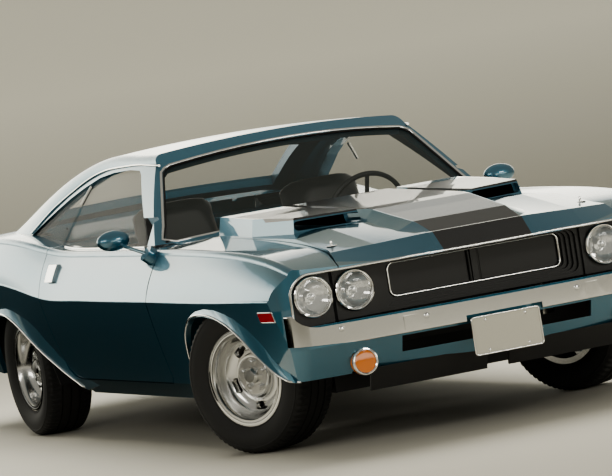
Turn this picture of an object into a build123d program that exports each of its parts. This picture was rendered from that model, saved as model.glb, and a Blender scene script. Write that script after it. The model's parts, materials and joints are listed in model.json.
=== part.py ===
from build123d import *
import os
from math import sin, cos, tan, radians, sqrt

os.makedirs("parts", exist_ok=True)

# A two-door hardtop muscle car of about 1970. Millimetres; the car faces -Y, +X is its
# left, +Z is up, and the origin is on the floor under the middle of its length.

# ------------------------------------------------------------------ driving sizes
WHEELBASE = 2794.0
FRONT_OVERHANG = 940.0        # front axle to the bumper's face
REAR_OVERHANG = 1125.0        # rear axle to the bumper's face
HALF_WIDTH = 966.0            # at the crease of the doors
SKIN = 20.0                   # fender, hood, deck and valance walls
ROOF_WALL = 42.0              # roof and pillars
DOOR_WALL = 206.0             # whole door: skin, beam and trim
SHUT_GAP = 5.0                # line round each opening panel
REBATE = 24.0                 # step of a door's inner half
GLASS = 6.0
GLASS_SET = 6.0               # glass below the outer surface

TRACK_FRONT = 1516.0
TRACK_REAR = 1542.0
TYRE_RADIUS = 326.0
TYRE_WIDTH = 235.0
BEAD_RADIUS = 190.5
FLANGE_RADIUS = 207.0
RIM_HALF = 98.0               # half the rim's whole width
KINGPIN_X = 698.0
STEER_REST = 26.0             # the wheels are parked turned to the left
SPINDLE_R = 25.0
SPINDLE_FIT = 0.05
LUG_PCD = 114.3
LUG_COUNT = 5
LUG_R = 11.0

SILL_Z = 232.0                # underside of the rockers
FLOOR_Z = 250.0               # top of the cabin floor
FLOOR_T = 12.0
TRUNK_FLOOR_Z = 452.0
BELT_Z = 886.0
MOUTH_TOP = 748.0
MOUTH_BOTTOM = 540.0
MOUTH_HALF = HALF_WIDTH - 106.0
NOSE_SET = 55.0               # nose of the body behind the bumper's face
TAIL_SET = 60.0

LENGTH = FRONT_OVERHANG + WHEELBASE + REAR_OVERHANG
FRONT_END = -LENGTH / 2
REAR_END = LENGTH / 2
FRONT_AXLE = FRONT_END + FRONT_OVERHANG
REAR_AXLE = FRONT_AXLE + WHEELBASE
NOSE = FRONT_END + NOSE_SET
TAIL = REAR_END - TAIL_SET
AXLES = {"F": FRONT_AXLE, "R": REAR_AXLE}
SIDES = (("left", 1), ("right", -1))


# ------------------------------------------------------------------ helpers
def block(x0, x1, y0, y1, z0, z1):
    return Solid.make_box(x1 - x0, y1 - y0, z1 - z0).moved(Location((x0, y0, z0)))


def side_prism(points, x0, x1):
    """A (y, z) outline carried across the car."""
    face = Face(Wire.make_polygon([(x0, y, z) for y, z in points]))
    return Solid.extrude(face, Vector(x1 - x0, 0, 0))


def front_prism(points, y0, y1):
    """An (x, z) outline carried along the car."""
    face = Face(Wire.make_polygon([(x, y0, z) for x, z in points]))
    return Solid.extrude(face, Vector(0, y1 - y0, 0))


def plan_prism(points, z0, z1):
    """An (x, y) outline carried upwards."""
    face = Face(Wire.make_polygon([(x, y, z0) for x, y in points]))
    return Solid.extrude(face, Vector(0, 0, z1 - z0))


def wire_prism(edges, travel):
    return Solid.extrude(Face(Wire(edges)), Vector(*travel))


def rod(p, q, r):
    p, q = Vector(*p), Vector(*q)
    return Solid.make_cylinder(r, (q - p).length, Plane(origin=p, z_dir=q - p))


def both(shape):
    return shape + mirrored(shape)


def mirrored(shape):
    return shape.mirror(Plane.YZ)


def write(name, shape):
    solids = shape.solids()
    result = solids[0] if len(solids) == 1 else Compound(children=list(solids))
    result.label = name
    export_step(result, f"parts/{name}.step")

def between(rows, y):
    """A row at any y: a monotone cubic through the rows, whose first column is y."""
    ys = [row[0] for row in rows]
    i = max(0, min(len(ys) - 2, sum(1 for v in ys if v <= y) - 1))
    h = ys[i + 1] - ys[i]
    t = (y - ys[i]) / h
    out = [y]
    for k in range(1, len(rows[0])):
        v = [row[k] for row in rows]

        def slope(j):
            if j in (0, len(v) - 1):
                a = min(j, len(v) - 2)
                return (v[a + 1] - v[a]) / (ys[a + 1] - ys[a])
            h0, h1 = ys[j] - ys[j - 1], ys[j + 1] - ys[j]
            s0, s1 = (v[j] - v[j - 1]) / h0, (v[j + 1] - v[j]) / h1
            if s0 * s1 <= 0:
                return 0.0
            return 3 * (h0 + h1) / ((2 * h1 + h0) / s0 + (h1 + 2 * h0) / s1)

        a, b = slope(i) * h, slope(i + 1) * h
        out.append(v[i] * (2 * t ** 3 - 3 * t * t + 1) + a * (t ** 3 - 2 * t * t + t)
                   + v[i + 1] * (3 * t * t - 2 * t ** 3) + b * (t ** 3 - t * t))
    return out


def even_loft(table, count, section, *how):
    """A loft through evenly spaced sections, so that it can't ripple between them."""
    rows = [(AXLES[row[0]] + row[1],) + row[2:] for row in table]
    first, last = rows[0][0], rows[-1][0]
    wires = [section(between(rows, first + (last - first) * i / count), *how) for i in range(count + 1)]
    return Solid.make_loft(wires)


# ------------------------------------------------------------------ lower body
# Half sections; "in" columns are insets from HALF_WIDTH.
# axle, dy, sill_in, sill_z, crease_in, crease_z, shoulder_in, shoulder_z, top_z
BODY = [
    ("F", -960, 170, SILL_Z, 100, 660, 122, 728, 728),
    ("F", -850, 148, SILL_Z, 78, 661, 112, 756, 760),
    ("F", -700, 116, SILL_Z, 41, 661, 100, 806, 800),
    ("F", -400, 104, SILL_Z, 18, 661, 90, 846, 846),
    ("F", 0, 100, SILL_Z, 9, 662, 86, 870, 880),
    ("F", 640, 100, SILL_Z, 3, 669, 94, 883, 914),
    ("F", 1500, 100, SILL_Z, 0, 676, 98, 887, 906),
    ("R", -750, 100, SILL_Z, 1, 683, 94, 898, 914),
    ("R", -300, 100, SILL_Z, 4, 731, 80, 945, 962),
    ("R", 0, 102, SILL_Z, 6, 761, 76, 970, 988),
    ("R", 500, 116, SILL_Z, 21, 765, 90, 968, 988),
    ("R", 1000, 151, SILL_Z, 51, 752, 116, 942, 964),
    ("R", 1180, 176, SILL_Z, 76, 742, 136, 928, 950),
]
SHOULDER_W = 32.0             # width and drop of the rounded shoulder
SHOULDER_D = 26.0
CREASE_H = 7.0                # height of the crease's bright edge


def body_section(row, inset, lift):
    y, sill_in, sill_z, crease_in, crease_z, sh_in, sh_z, top_z = row
    sx, cx, hx = (HALF_WIDTH - v - inset for v in (sill_in, crease_in, sh_in))
    sz, hz, tz = sill_z + inset, sh_z - inset + lift, top_z - inset + lift

    def half(s):
        sill, under = (s * sx, y, sz), (s * cx, y, crease_z - CREASE_H)
        low_mid = (s * ((sx + cx) / 2 + 8), y, (sz + crease_z) / 2)
        over = (s * (cx - 2), y, crease_z + CREASE_H)
        edge = (s * (cx + 1), y, crease_z)
        hip = (s * hx, y, hz - SHOULDER_D)
        up_mid = (s * ((cx + hx) / 2 + 11), y, (crease_z + hz - SHOULDER_D) / 2)
        crown = (s * (hx - SHOULDER_W), y, hz)
        round_mid = (s * (hx - 7), y, hz - 7.5)
        return [Edge.make_three_point_arc(sill, low_mid, under),
                Edge.make_three_point_arc(under, edge, over),
                Edge.make_three_point_arc(over, up_mid, hip),
                Edge.make_three_point_arc(hip, round_mid, crown)], sill, crown

    right, sill_r, crown_r = half(-1)
    left, sill_l, crown_l = half(1)
    top = Edge.make_three_point_arc(crown_l, (0, y, tz + 0.5), crown_r)
    bottom = Edge.make_line(sill_r, sill_l)
    return Wire([bottom] + left + [top] + right)


def body_form(inset=0.0, lift=0.0):
    return even_loft(BODY, 13, body_section, inset, lift)


# z, how far the nose and the tail stand back there
ENDS = [
    (150.0, 125.0, 180.0),
    (450.0, 8.0, 40.0),
    (620.0, 0.0, 14.0),
    (1000.0, 0.0, 0.0),
]
# each end's bow and its rounded corner: half width, distance from the end's middle, how
# much of an inset narrows it; then the run from there out to the full width
NOSE_CORNER = [(800.0, 57.0, 0.2), (868.0, 85.0, 0.6), (905.0, 140.0, 0.95)]
TAIL_CORNER = [(800.0, 30.0, 0.2), (862.0, 52.0, 0.6), (893.0, 100.0, 0.95)]
NOSE_RUN = 280.0
TAIL_RUN = 250.0


def end_edges(end, toward, corner, run, inset, z):
    """One end's bow and corners, from the full width on the left to that on the right."""
    wide = HALF_WIDTH + 60
    right = [(x - inset * share, end + toward * back, z) for x, back, share in corner]
    left = [(-x, y, z) for x, y, z in right]
    out = right[2][1] + toward * run
    return [Edge.make_line((-wide, out, z), left[2]), Edge.make_three_point_arc(left[2], left[1], left[0]),
            Edge.make_three_point_arc(left[0], (0, end, z), right[0]), Edge.make_three_point_arc(*right),
            Edge.make_line(right[2], (wide, out, z))], (-wide, out, z), (wide, out, z)


def ends_form(inset=0.0):
    """The body's plan between its bowed nose and tail."""
    faces = []
    for z, nose_back, tail_in in ENDS:
        nose, n_left, n_right = end_edges(NOSE + nose_back + inset, 1, NOSE_CORNER, NOSE_RUN, inset, z)
        tail, t_left, t_right = end_edges(TAIL - tail_in - inset, -1, TAIL_CORNER, TAIL_RUN, inset, z)
        faces.append(Wire(nose + [Edge.make_line(n_right, t_right)] + tail[::-1] + [Edge.make_line(t_left, n_left)]))
    return Solid.make_loft(faces, ruled=True)


# ------------------------------------------------------------------ greenhouse
# axle, dy, belt_in, belt_z, drip_in, drip_z, edge_in, edge_z, top_z
ROOF = [
    ("F", 690, 154, 885, 362, 1225, 406, 1262, 1292),
    ("F", 1400, 154, 885, 348, 1246, 394, 1286, 1313),
    ("F", 1890, 154, 890, 341, 1234, 380, 1290, 1314),
    ("R", -520, 160, 900, 297, 1152, 326, 1226, 1268),
    ("R", -40, 166, 850, 201, 961, 266, 1083, 1134),
    ("R", 250, 171, 800, 194, 880, 238, 990, 1036),
    ("R", 560, 176, 780, 201, 840, 231, 925, 962),
]
ROOF_FOOT = 700.0


def roof_section(row, inset):
    y, belt_in, belt_z, drip_in, drip_z, edge_in, edge_z, top_z = row
    bx, dx, ex = (HALF_WIDTH - v - inset for v in (belt_in, drip_in, edge_in))
    dz, ez, tz = (v - inset for v in (drip_z, edge_z, top_z))

    def half(s):
        foot, belt, drip, edge = (s * bx, y, ROOF_FOOT), (s * bx, y, belt_z), (s * dx, y, dz), (s * ex, y, ez)
        side_mid = (s * ((bx + dx) / 2 + 9), y, (belt_z + dz) / 2 + 5)
        edge_mid = (s * ((dx + ex) / 2 + 7), y, (dz + ez) / 2 + 7)
        return [Edge.make_line(foot, belt), Edge.make_three_point_arc(belt, side_mid, drip),
                Edge.make_three_point_arc(drip, edge_mid, edge)], foot, edge

    right, foot_r, edge_r = half(-1)
    left, foot_l, edge_l = half(1)
    top = Edge.make_three_point_arc(edge_l, (0, y, tz), edge_r)
    return Wire([Edge.make_line(foot_r, foot_l)] + left + [top] + right)


def roof_form(inset=0.0):
    return even_loft(ROOF, 9, roof_section, inset)


SCREEN_BASE = (FRONT_AXLE + 675.0, 914.0)     # y, z of the windshield's foot
SCREEN_RAKE = 38.0                            # degrees above level
SCREEN_ROUND = 2400.0


def screen_form(inset=0.0):
    """Everything behind the windshield's surface: a lying barrel along its rake."""
    along = Vector(0, cos(radians(SCREEN_RAKE)), sin(radians(SCREEN_RAKE)))
    inward = Vector(0, sin(radians(SCREEN_RAKE)), -cos(radians(SCREEN_RAKE)))
    foot = Vector(0, *SCREEN_BASE)
    start = foot + inward * SCREEN_ROUND - along * 5000
    return Solid.make_cylinder(SCREEN_ROUND - inset, 10000, Plane(origin=start, z_dir=along))




# ------------------------------------------------------------------ outlines of the panels
def side(points):
    """Rows of axle, dy, z as a (y, z) outline."""
    return [(AXLES[axle] + dy, z) for axle, dy, z in points]


def arcs(points, x):
    """Three-point arcs through a (y, z) outline with an odd number of points."""
    return [Edge.make_three_point_arc(*[(x, y, z) for y, z in points[i:i + 3]])
            for i in range(0, len(points) - 2, 2)]


def arch_prism(curve, corners, x0, x1):
    """A wheel arch's lip, closed below through its corners, carried across the car."""
    lip, low = side(curve), side(corners)
    path = [lip[-1]] + low + [lip[0]]
    lines = [Edge.make_line((x0, *a), (x0, *b)) for a, b in zip(path, path[1:])]
    return wire_prism(arcs(lip, x0) + lines, (x1 - x0, 0, 0))


# wheel arch lips, from the back of each arch to its long sweep in front: axle, dy, z
FRONT_ARCH = [
    ("F", 392, 232), ("F", 382, 330), ("F", 358, 404), ("F", 311, 504), ("F", 240, 565), ("F", 150, 596),
    ("F", 45, 607), ("F", -80, 602), ("F", -200, 577), ("F", -295, 541), ("F", -380, 494), ("F", -447, 446),
    ("F", -514, 404), ("F", -590, 364), ("F", -655, 340), ("F", -700, 329), ("F", -745, 322),
]
FRONT_UNDER = [("F", -1000, 314), ("F", -1000, -60), ("F", 392, -60)]
REAR_ARCH = [
    ("R", 402, 300), ("R", 392, 380), ("R", 360, 455), ("R", 310, 520), ("R", 235, 571), ("R", 140, 598),
    ("R", 40, 604), ("R", -70, 586), ("R", -195, 541), ("R", -322, 477), ("R", -456, 414), ("R", -580, 364),
    ("R", -690, 318), ("R", -790, 283), ("R", -850, 263), ("R", -905, 246), ("R", -960, 228),
]
REAR_UNDER = [("R", -960, -60), ("R", 1300, -60), ("R", 1300, 345), ("R", 1000, 340)]

DOOR_FRONT = FRONT_AXLE + 675.0
DOOR_BOTTOM = 300.0
DOOR_REAR = REAR_AXLE - 640.0                 # at the crease
DOOR_TOP = 1010.0                             # above the belt, where the body ends first
DOOR = [(DOOR_FRONT, DOOR_BOTTOM + 26), (DOOR_FRONT + 26, DOOR_BOTTOM), (DOOR_REAR - 235, DOOR_BOTTOM),
        (DOOR_REAR - 150, DOOR_BOTTOM + 12), (DOOR_REAR - 85, DOOR_BOTTOM + 50), (DOOR_REAR - 48, DOOR_BOTTOM + 110),
        (DOOR_REAR - 22, DOOR_BOTTOM + 240), (DOOR_REAR, DOOR_BOTTOM + 370), (DOOR_REAR + 24, DOOR_BOTTOM + 500),
        (DOOR_REAR + 46, DOOR_BOTTOM + 600), (DOOR_REAR + 60, DOOR_TOP), (DOOR_FRONT, DOOR_TOP)]
LIP = 38.0                                    # depth of a door's outer half, over its rebate
DOOR_INNER_X = HALF_WIDTH - DOOR_WALL
CABIN_X = DOOR_INNER_X - 8.0
HINGE_X = HALF_WIDTH - 76.0
HINGE_Y = DOOR_FRONT - 62.0
HINGE_PIN = 8.0
HINGE_HEIGHTS = (540.0, 724.0)
PILLAR_FOOT_Z = BELT_Z + 10.0                 # underside of the windshield pillar over the door
PILLAR_FOOT_Y = FRONT_AXLE + 975.0            # its rear end

# side windows: one opening, filled by the door's glass and the quarter glass
WINDOW = [("F", 925, 860), ("F", 1365, 1204), ("F", 1405, 1220), ("F", 1540, 1227), ("F", 1760, 1221),
          ("F", 1940, 1204), ("R", -676, 1165), ("R", -521, 1122), ("R", -266, 1034), ("R", -90, 968),
          ("R", -54, 930), ("R", -54, 860)]
DOOR_PANE = [("F", 943, 860), ("F", 1374, 1196), ("F", 1410, 1211), ("F", 1540, 1219), ("F", 1760, 1213),
             ("F", 1930, 1197), ("R", -790, 1186), ("R", -628, 894), ("R", -612, 860)]
QUARTER_PANE = [("R", -772, 1181), ("R", -679, 1157), ("R", -524, 1114), ("R", -270, 1027), ("R", -97, 961),
                ("R", -68, 925), ("R", -68, 860), ("R", -580, 860), ("R", -588, 888), ("R", -606, 906)]

HOOD_REAR = FRONT_AXLE + 650.0                # on the hinge line
HOOD_HINGE_X = 485.0
HOOD_REAR_GAP = 20.0
HOOD_HINGE_R = 8.0
HOOD_EDGE = [(-900, 672), (-850, 655), (-650, 612), (-100, 606), (300, 620), (650, 640)]   # dy, half width
HOOD_BOW = 26.0                               # the hood's rear edge is bowed forwards
LID_FRONT = REAR_AXLE + 345.0
LID_HALF = 590.0
LID_GAP = 14.0                                # wide enough for the lid's front edge to swing
LID_REAR = TAIL - 34.0
LID_HINGE_X = 440.0
LID_HINGE_R = 6.0


def hood_prism(grow=0.0, rear=0.0):
    right = [(-(w + grow), FRONT_AXLE + dy) for dy, w in HOOD_EDGE[:-1]]
    corner = HOOD_EDGE[-1][1] + grow
    pts = right + [(-corner, HOOD_REAR + rear)]
    edges = [Edge.make_line((*a, MOUTH_BOTTOM), (*b, MOUTH_BOTTOM)) for a, b in zip(pts, pts[1:])]
    edges += [Edge.make_line((-a[0], a[1], MOUTH_BOTTOM), (-b[0], b[1], MOUTH_BOTTOM)) for a, b in zip(pts, pts[1:])]
    edges.append(Edge.make_line((*pts[0], MOUTH_BOTTOM), (-pts[0][0], pts[0][1], MOUTH_BOTTOM)))
    edges.append(Edge.make_three_point_arc((-corner, HOOD_REAR + rear, MOUTH_BOTTOM),
                                           (0, HOOD_REAR + rear - HOOD_BOW, MOUTH_BOTTOM),
                                           (corner, HOOD_REAR + rear, MOUTH_BOTTOM)))
    return Solid.extrude(Face(Wire(edges)), Vector(0, 0, 600))


def lid_prism(grow=0.0, front=0.0):
    y0, y1, w = LID_FRONT - front, LID_REAR + grow, LID_HALF + grow
    return plan_prism([(-w, y0), (w, y0), (w, y1 - 22), (0, y1), (-w, y1 - 22)], 850, 1100)


def mouth(inset=0.0):
    """The rounded recess that holds the grille and the four lamps."""
    w, h0, h1, r = MOUTH_HALF - inset, MOUTH_BOTTOM + inset, MOUTH_TOP - inset, 78.0 - inset
    cut = block(-w, w, NOSE - 100, NOSE + 260, h0, h1)
    return fillet([e for e in cut.edges().filter_by(Axis.Y) if e.center().Z > h1 - 1], r)


# the windshield's outline, as half width and distance up its rake; then its middle's
SCREEN_CORNERS = [(762.0, 135.0), (614.0, 556.0), (572.0, 594.0)]
SCREEN_MIDDLE = (26.0, 568.0)


def screen_outline(shrink=0.0):
    """The windshield's opening, carried through it along its own normal."""
    rake = radians(SCREEN_RAKE)
    plane = Plane(origin=(0, *SCREEN_BASE), x_dir=(1, 0, 0), z_dir=(0, -sin(rake), cos(rake)))
    (w0, low), (w1, high), (w2, top) = [(w - shrink, u) for w, u in SCREEN_CORNERS]
    low, high, top, s = low + shrink, high - shrink * 0.4, top - shrink, shrink
    line = Edge.make_line
    edges = [Edge.make_three_point_arc((-w0, low), (0, SCREEN_MIDDLE[0] + s), (w0, low)), line((w0, low), (w1, high)),
             line((w1, high), (w2, top)), Edge.make_three_point_arc((w2, top), (0, SCREEN_MIDDLE[1] - s), (-w2, top)),
             line((-w2, top), (-w1, high)), line((-w1, high), (-w0, low))]
    face = Face(Wire(edges))
    return Solid.extrude(plane.from_local_coords(face), plane.z_dir * 700).moved(Location(plane.z_dir * -400))


def rear_screen_prism(shrink=0.0):
    y0, y1 = REAR_AXLE - 540 + shrink, REAR_AXLE + 165 - shrink
    a, b = 500 - shrink, 575 - shrink
    edges = [Edge.make_three_point_arc((-a, y0 + 25, 800), (0, y0, 800), (a, y0 + 25, 800)), Edge.make_line((a, y0 + 25, 800), (b, y1 - 60, 800)),
             Edge.make_three_point_arc((b, y1 - 60, 800), (0, y1, 800), (-b, y1 - 60, 800)), Edge.make_line((-b, y1 - 60, 800), (-a, y0 + 25, 800))]
    return Solid.extrude(Face(Wire(edges)), Vector(0, 0, 600))


# the flares over the arches: outer edge y, z, then the lip of the arch y, z below it
FRONT_FLARE = [
    (-1290, 590, -1289, 580), (-1322, 610, -1339.5, 596), (-1393, 628, -1444.5, 607), (-1497, 639, -1569.5, 602),
    (-1607, 636, -1689.5, 577), (-1709, 621, -1784.5, 541), (-1807, 598, -1869.5, 494), (-1897, 560, -1936.5, 446),
    (-1972, 518, -2003.5, 404), (-2033, 472, -2079.5, 364), (-2071, 426, -2144.5, 340), (-2124, 389, -2189.5, 329),
    (-2192, 360, -2234.5, 322)]
REAR_FLARE = [
    (1590, 560, 1560, 560), (1520, 598, 1500, 586), (1445, 626, 1444.5, 598), (1347, 636, 1344.5, 604),
    (1273, 641, 1234.5, 586), (1178, 632, 1109.5, 541), (1072, 606, 982.5, 477), (968, 580, 900, 438),
    (877, 542, 848.5, 414), (806, 495, 784, 387), (733, 453, 724.5, 364), (662, 407, 668, 340), (599, 374, 614.5, 318),
    (477, 329, 514.5, 283), (364, 293, 454.5, 263), (241, 268, 399.5, 246)]
FLARE_OUT = 16.0              # how far the flare's lip stands out
FLARE_IN = 15.0               # how deep its root goes
FLARE_PAST = 10.0             # how far it runs into the arch before it is trimmed


BODY_ROWS = [(AXLES[row[0]] + row[1],) + row[2:] for row in BODY]


def side_x(y, z):
    """Half width of the body's side."""
    _, sill_in, sill_z, crease_in, crease_z, sh_in, sh_z, _ = between(BODY_ROWS, y)
    if z < crease_z:
        t = (z - sill_z) / (crease_z - sill_z)
        return HALF_WIDTH - sill_in + (sill_in - crease_in) * t + 32 * t * (1 - t) + 1
    t = min(1.0, (z - crease_z) / (sh_z - crease_z))
    return HALF_WIDTH - crease_in + (crease_in - sh_in) * t + 44 * t * (1 - t) + 1


# ------------------------------------------------------------------ forms shared by the panels
body = body_form() & ends_form()
core = body_form(SKIN) & ends_form(SKIN)
arches = (arch_prism(FRONT_ARCH, FRONT_UNDER, -1100, 1100), arch_prism(REAR_ARCH, REAR_UNDER, -1100, 1100))
skin = body - core - arches[0] - arches[1]


def flare(rows, arch):
    """A lip that swells out of the left side towards its arch."""
    sections = []
    for y, z, lip_y, lip_z in rows:
        length = sqrt((lip_y - y) ** 2 + (lip_z - z) ** 2)
        past = 1 + FLARE_PAST / length
        low_y, low_z = y + (lip_y - y) * past, z + (lip_z - z) * past
        x, low_x = side_x(y, z), side_x(low_y, max(low_z, SILL_Z))
        sections.append(Wire.make_polygon([(x - FLARE_IN, y, z), (x - 1, y, z), (low_x + FLARE_OUT, low_y, low_z),
                                           (low_x - FLARE_IN, low_y, low_z)], close=True))
    return Solid.make_loft(sections, ruled=True) - arch


front_flare = flare(FRONT_FLARE, arches[0])
rear_flare = flare(REAR_FLARE, arches[1])
roof_outer = roof_form() & screen_form() & block(-HALF_WIDTH, HALF_WIDTH, FRONT_AXLE, LID_FRONT - LID_GAP, 0, 1500)
roof_inner = roof_form(ROOF_WALL) & screen_form(ROOF_WALL)
glass_slab = roof_form(GLASS_SET) - roof_form(GLASS_SET + GLASS)
SILL_TOP = DOOR_BOTTOM - SHUT_GAP


def hinge_recess(extra):
    """Room round the hinge line that the fender's rear edge sweeps in the door's own frame."""
    reach = DOOR_FRONT - SHUT_GAP - HINGE_Y
    levels = [180 + 60 * i for i in range(14)]
    pts = [(sqrt((side_x(DOOR_FRONT, z) - HINGE_X) ** 2 + reach ** 2) + extra, z) for z in levels]
    outline = [(HINGE_X + r, HINGE_Y, z) for r, z in pts]
    wire = Wire.make_polygon([(HINGE_X, HINGE_Y, levels[0])] + outline + [(HINGE_X, HINGE_Y, levels[-1])])
    return Solid.revolve(Face(wire), 360, Axis((HINGE_X, HINGE_Y, 0), (0, 0, 1)))


def offset_prism(points, amount, x0, x1):
    wire = Wire.make_polygon([(0, y, z) for y, z in points])
    grown = wire.offset_2d(amount, kind=Kind.INTERSECTION) if amount else wire
    return Solid.extrude(Face(grown), Vector(x1 - x0, 0, 0)).moved(Location((x0, 0, 0)))


# ------------------------------------------------------------------ doors and their hinges
jamb = body_form(LIP)
outer_half = (body & offset_prism(DOOR, 0, DOOR_INNER_X, HALF_WIDTH + 40)) - jamb
inner_half = (body & offset_prism(DOOR, -REBATE, DOOR_INNER_X, HALF_WIDTH + 40))
door = (outer_half + inner_half) - hinge_recess(SHUT_GAP)
strap_path = [(-14, -8), (-70, 8), (-98, 38), (-98, 130), (-74, 130), (-74, 50), (-60, 30), (-6, 13)]
straps, pins = [], []
for z in HINGE_HEIGHTS:
    arm = plan_prism([(HINGE_X + x, HINGE_Y + y) for x, y in strap_path], z - 12, z + 12)
    ring = Solid.make_cylinder(15, 24, Plane((HINGE_X, HINGE_Y, z - 12)))
    bore = Solid.make_cylinder(HINGE_PIN + SPINDLE_FIT, 80, Plane((HINGE_X, HINGE_Y, z - 40)))
    straps.append((arm + ring) - bore)
    pin = Solid.make_cylinder(HINGE_PIN, 44, Plane((HINGE_X, HINGE_Y, z - 22)))
    ears = [block(HINGE_X - 24, HINGE_X + 12, HINGE_Y - 40, HINGE_Y + 12, z + s - 4.5, z + s + 4.5) for s in (-17.5, 17.5)]
    pins.append(pin + ears[0] + ears[1])
for strap in straps:
    door = door + strap
door_left = door

door_cut = ((offset_prism(DOOR, SHUT_GAP, CABIN_X - 20, HALF_WIDTH + 40) - body_form(LIP + SHUT_GAP + 1))
            + offset_prism(DOOR, -REBATE + 16, CABIN_X - 20, HALF_WIDTH + 40)
            - block(0, HALF_WIDTH + 60, FRONT_AXLE, PILLAR_FOOT_Y, PILLAR_FOOT_Z, 1300))

# ------------------------------------------------------------------ body shell
cabin = block(-CABIN_X, CABIN_X, FRONT_AXLE + 600, REAR_AXLE - 245, 0, 1020) & screen_form(60)
shelf_room = block(-CABIN_X + 40, CABIN_X - 40, REAR_AXLE - 260, REAR_AXLE + 190, 905, 1020)
rear_room = core & block(-HALF_WIDTH, HALF_WIDTH, REAR_AXLE - 375, REAR_END, 0, 1100)
rear_flare = rear_flare - offset_prism(DOOR, SHUT_GAP, 0, HALF_WIDTH + 40)
shell = (body + both(rear_flare) - block(-1100, 1100, FRONT_END - 50, DOOR_FRONT - SHUT_GAP, 0, 1400) - cabin - shelf_room - rear_room
         - arches[0] - arches[1])
top = roof_outer - roof_inner - core - side_prism(side(WINDOW), -1000, 1000) - screen_outline() - rear_screen_prism()
shell = shell + (top - (cabin & block(-CABIN_X, CABIN_X, -2000, 2000, 0, 880)))
shell = shell - door_cut - mirrored(door_cut)
shell = shell - lid_prism(SHUT_GAP, LID_GAP)
cowl = (body & block(4 - HOOD_EDGE[-1][1], HOOD_EDGE[-1][1] - 4, FRONT_AXLE, DOOR_FRONT, 856, 1000)) - hood_prism(0, HOOD_REAR_GAP)
cowl = cowl & block(-HALF_WIDTH, HALF_WIDTH, HOOD_REAR - HOOD_BOW, DOOR_FRONT, 0, 1200)
pillar_y = (HINGE_Y - 90, HINGE_Y - 18)
pillar = block(CABIN_X - 6, HINGE_X + 10, *pillar_y, SILL_Z + 20, 862)
kick = block(CABIN_X - 8, CABIN_X, pillar_y[0], DOOR_FRONT + 26, SILL_Z + 20, 862)
toe = block(CABIN_X - 8, HINGE_X - 10, pillar_y[0], DOOR_FRONT - SHUT_GAP, SILL_Z, SILL_TOP - 8)
post = (pillar + kick + toe) & core
for pin in pins:
    post = post + pin
shelf = block(-HALF_WIDTH, HALF_WIDTH, REAR_AXLE - 260, REAR_AXLE + 200, 893, 905) & core
for z in HINGE_HEIGHTS:
    shell = shell - both(block(HINGE_X - 112, HALF_WIDTH, DOOR_FRONT - 16, DOOR_FRONT + 16, z - 18, z + 18))
shell = shell + both(post) + cowl + shelf
hood_z = 892.0
lid_z = 976.0
for s in (-1, 1):
    shell = shell - rod((s * HOOD_HINGE_X - 18, HOOD_REAR, hood_z), (s * HOOD_HINGE_X + 18, HOOD_REAR, hood_z), HOOD_HINGE_R + SHUT_GAP)
    seat_block = block(s * LID_HINGE_X - 12, s * LID_HINGE_X + 12, LID_FRONT - 30, LID_FRONT - 3, lid_z - 26, lid_z)
    shell = shell + (seat_block - rod((s * LID_HINGE_X - 20, LID_FRONT, lid_z), (s * LID_HINGE_X + 20, LID_FRONT, lid_z), LID_HINGE_R + 0.3))
    cradle = block(s * HOOD_HINGE_X - 12, s * HOOD_HINGE_X + 12, HOOD_REAR - 2, HOOD_REAR + 34, 866, 884)
    shell = shell + (cradle - rod((s * HOOD_HINGE_X - 30, HOOD_REAR, hood_z), (s * HOOD_HINGE_X + 30, HOOD_REAR, hood_z), HOOD_HINGE_R + 0.3))
body_shell = shell

# ------------------------------------------------------------------ fenders, hood, deck lid, valance
opening = mouth()
VALANCE_HALF = 685.0
VALANCE_TOP = MOUTH_BOTTOM
front_zone = block(-1100, 1100, FRONT_END - 50, DOOR_FRONT - SHUT_GAP, 0, 1200)
front_skin = (skin & front_zone) - opening
valance_zone = front_prism([(-VALANCE_HALF, VALANCE_TOP), (VALANCE_HALF, VALANCE_TOP), (VALANCE_HALF, 448),
                            (VALANCE_HALF + 14, 400), (VALANCE_HALF + 60, 335), (VALANCE_HALF + 120, 295),
                            (VALANCE_HALF + 120, 200), (-VALANCE_HALF - 120, 200), (-VALANCE_HALF - 120, 295),
                            (-VALANCE_HALF - 60, 335), (-VALANCE_HALF - 14, 400), (-VALANCE_HALF, 448)],
                           FRONT_END - 50, NOSE + 210)
fender_zone = block(HALF_WIDTH - 372, HALF_WIDTH + 60, FRONT_END, DOOR_FRONT - SHUT_GAP, 0, 1200)
fender_left = ((front_skin & fender_zone) + front_flare) - hood_prism(SHUT_GAP, 60) - valance_zone - cowl
fender_left = fender_left - block(0, HALF_WIDTH - 126, NOSE + 190, DOOR_FRONT, 0, 640)

# The hood: its front rises to a crease on each side of the middle and runs back as a shelf
# (half width, the lip's y and z, the crease's y and z, the shelf's z and its tail's z).
SWELL = [(0, -2372, 757, -2290, 831, 893, 900), (225, -2368, 757, -2286, 831, 893, 900),
         (450, -2352, 757, -2250, 822, 893, 900), (700, -2320, 757, -2185, 813, 862, 880)]
SHELF_Y, SHELF_TAIL_Y = -1790.0, -1250.0
SWELL_DEPTH = 60.0
# A low bulge down its middle: y, half width and z of its top, half width and z of its foot.
BULGE = [(-2288, 196, 829, 262, 822), (-2126, 212, 878, 290, 847), (-1889, 222, 915, 290, 875),
         (-1750, 226, 938, 285, 885), (-1650, 228, 946, 285, 885), (-1250, 230, 963, 285, 895),
         (-860, 230, 979, 285, 905), (-700, 230, 979, 285, 905)]
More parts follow.
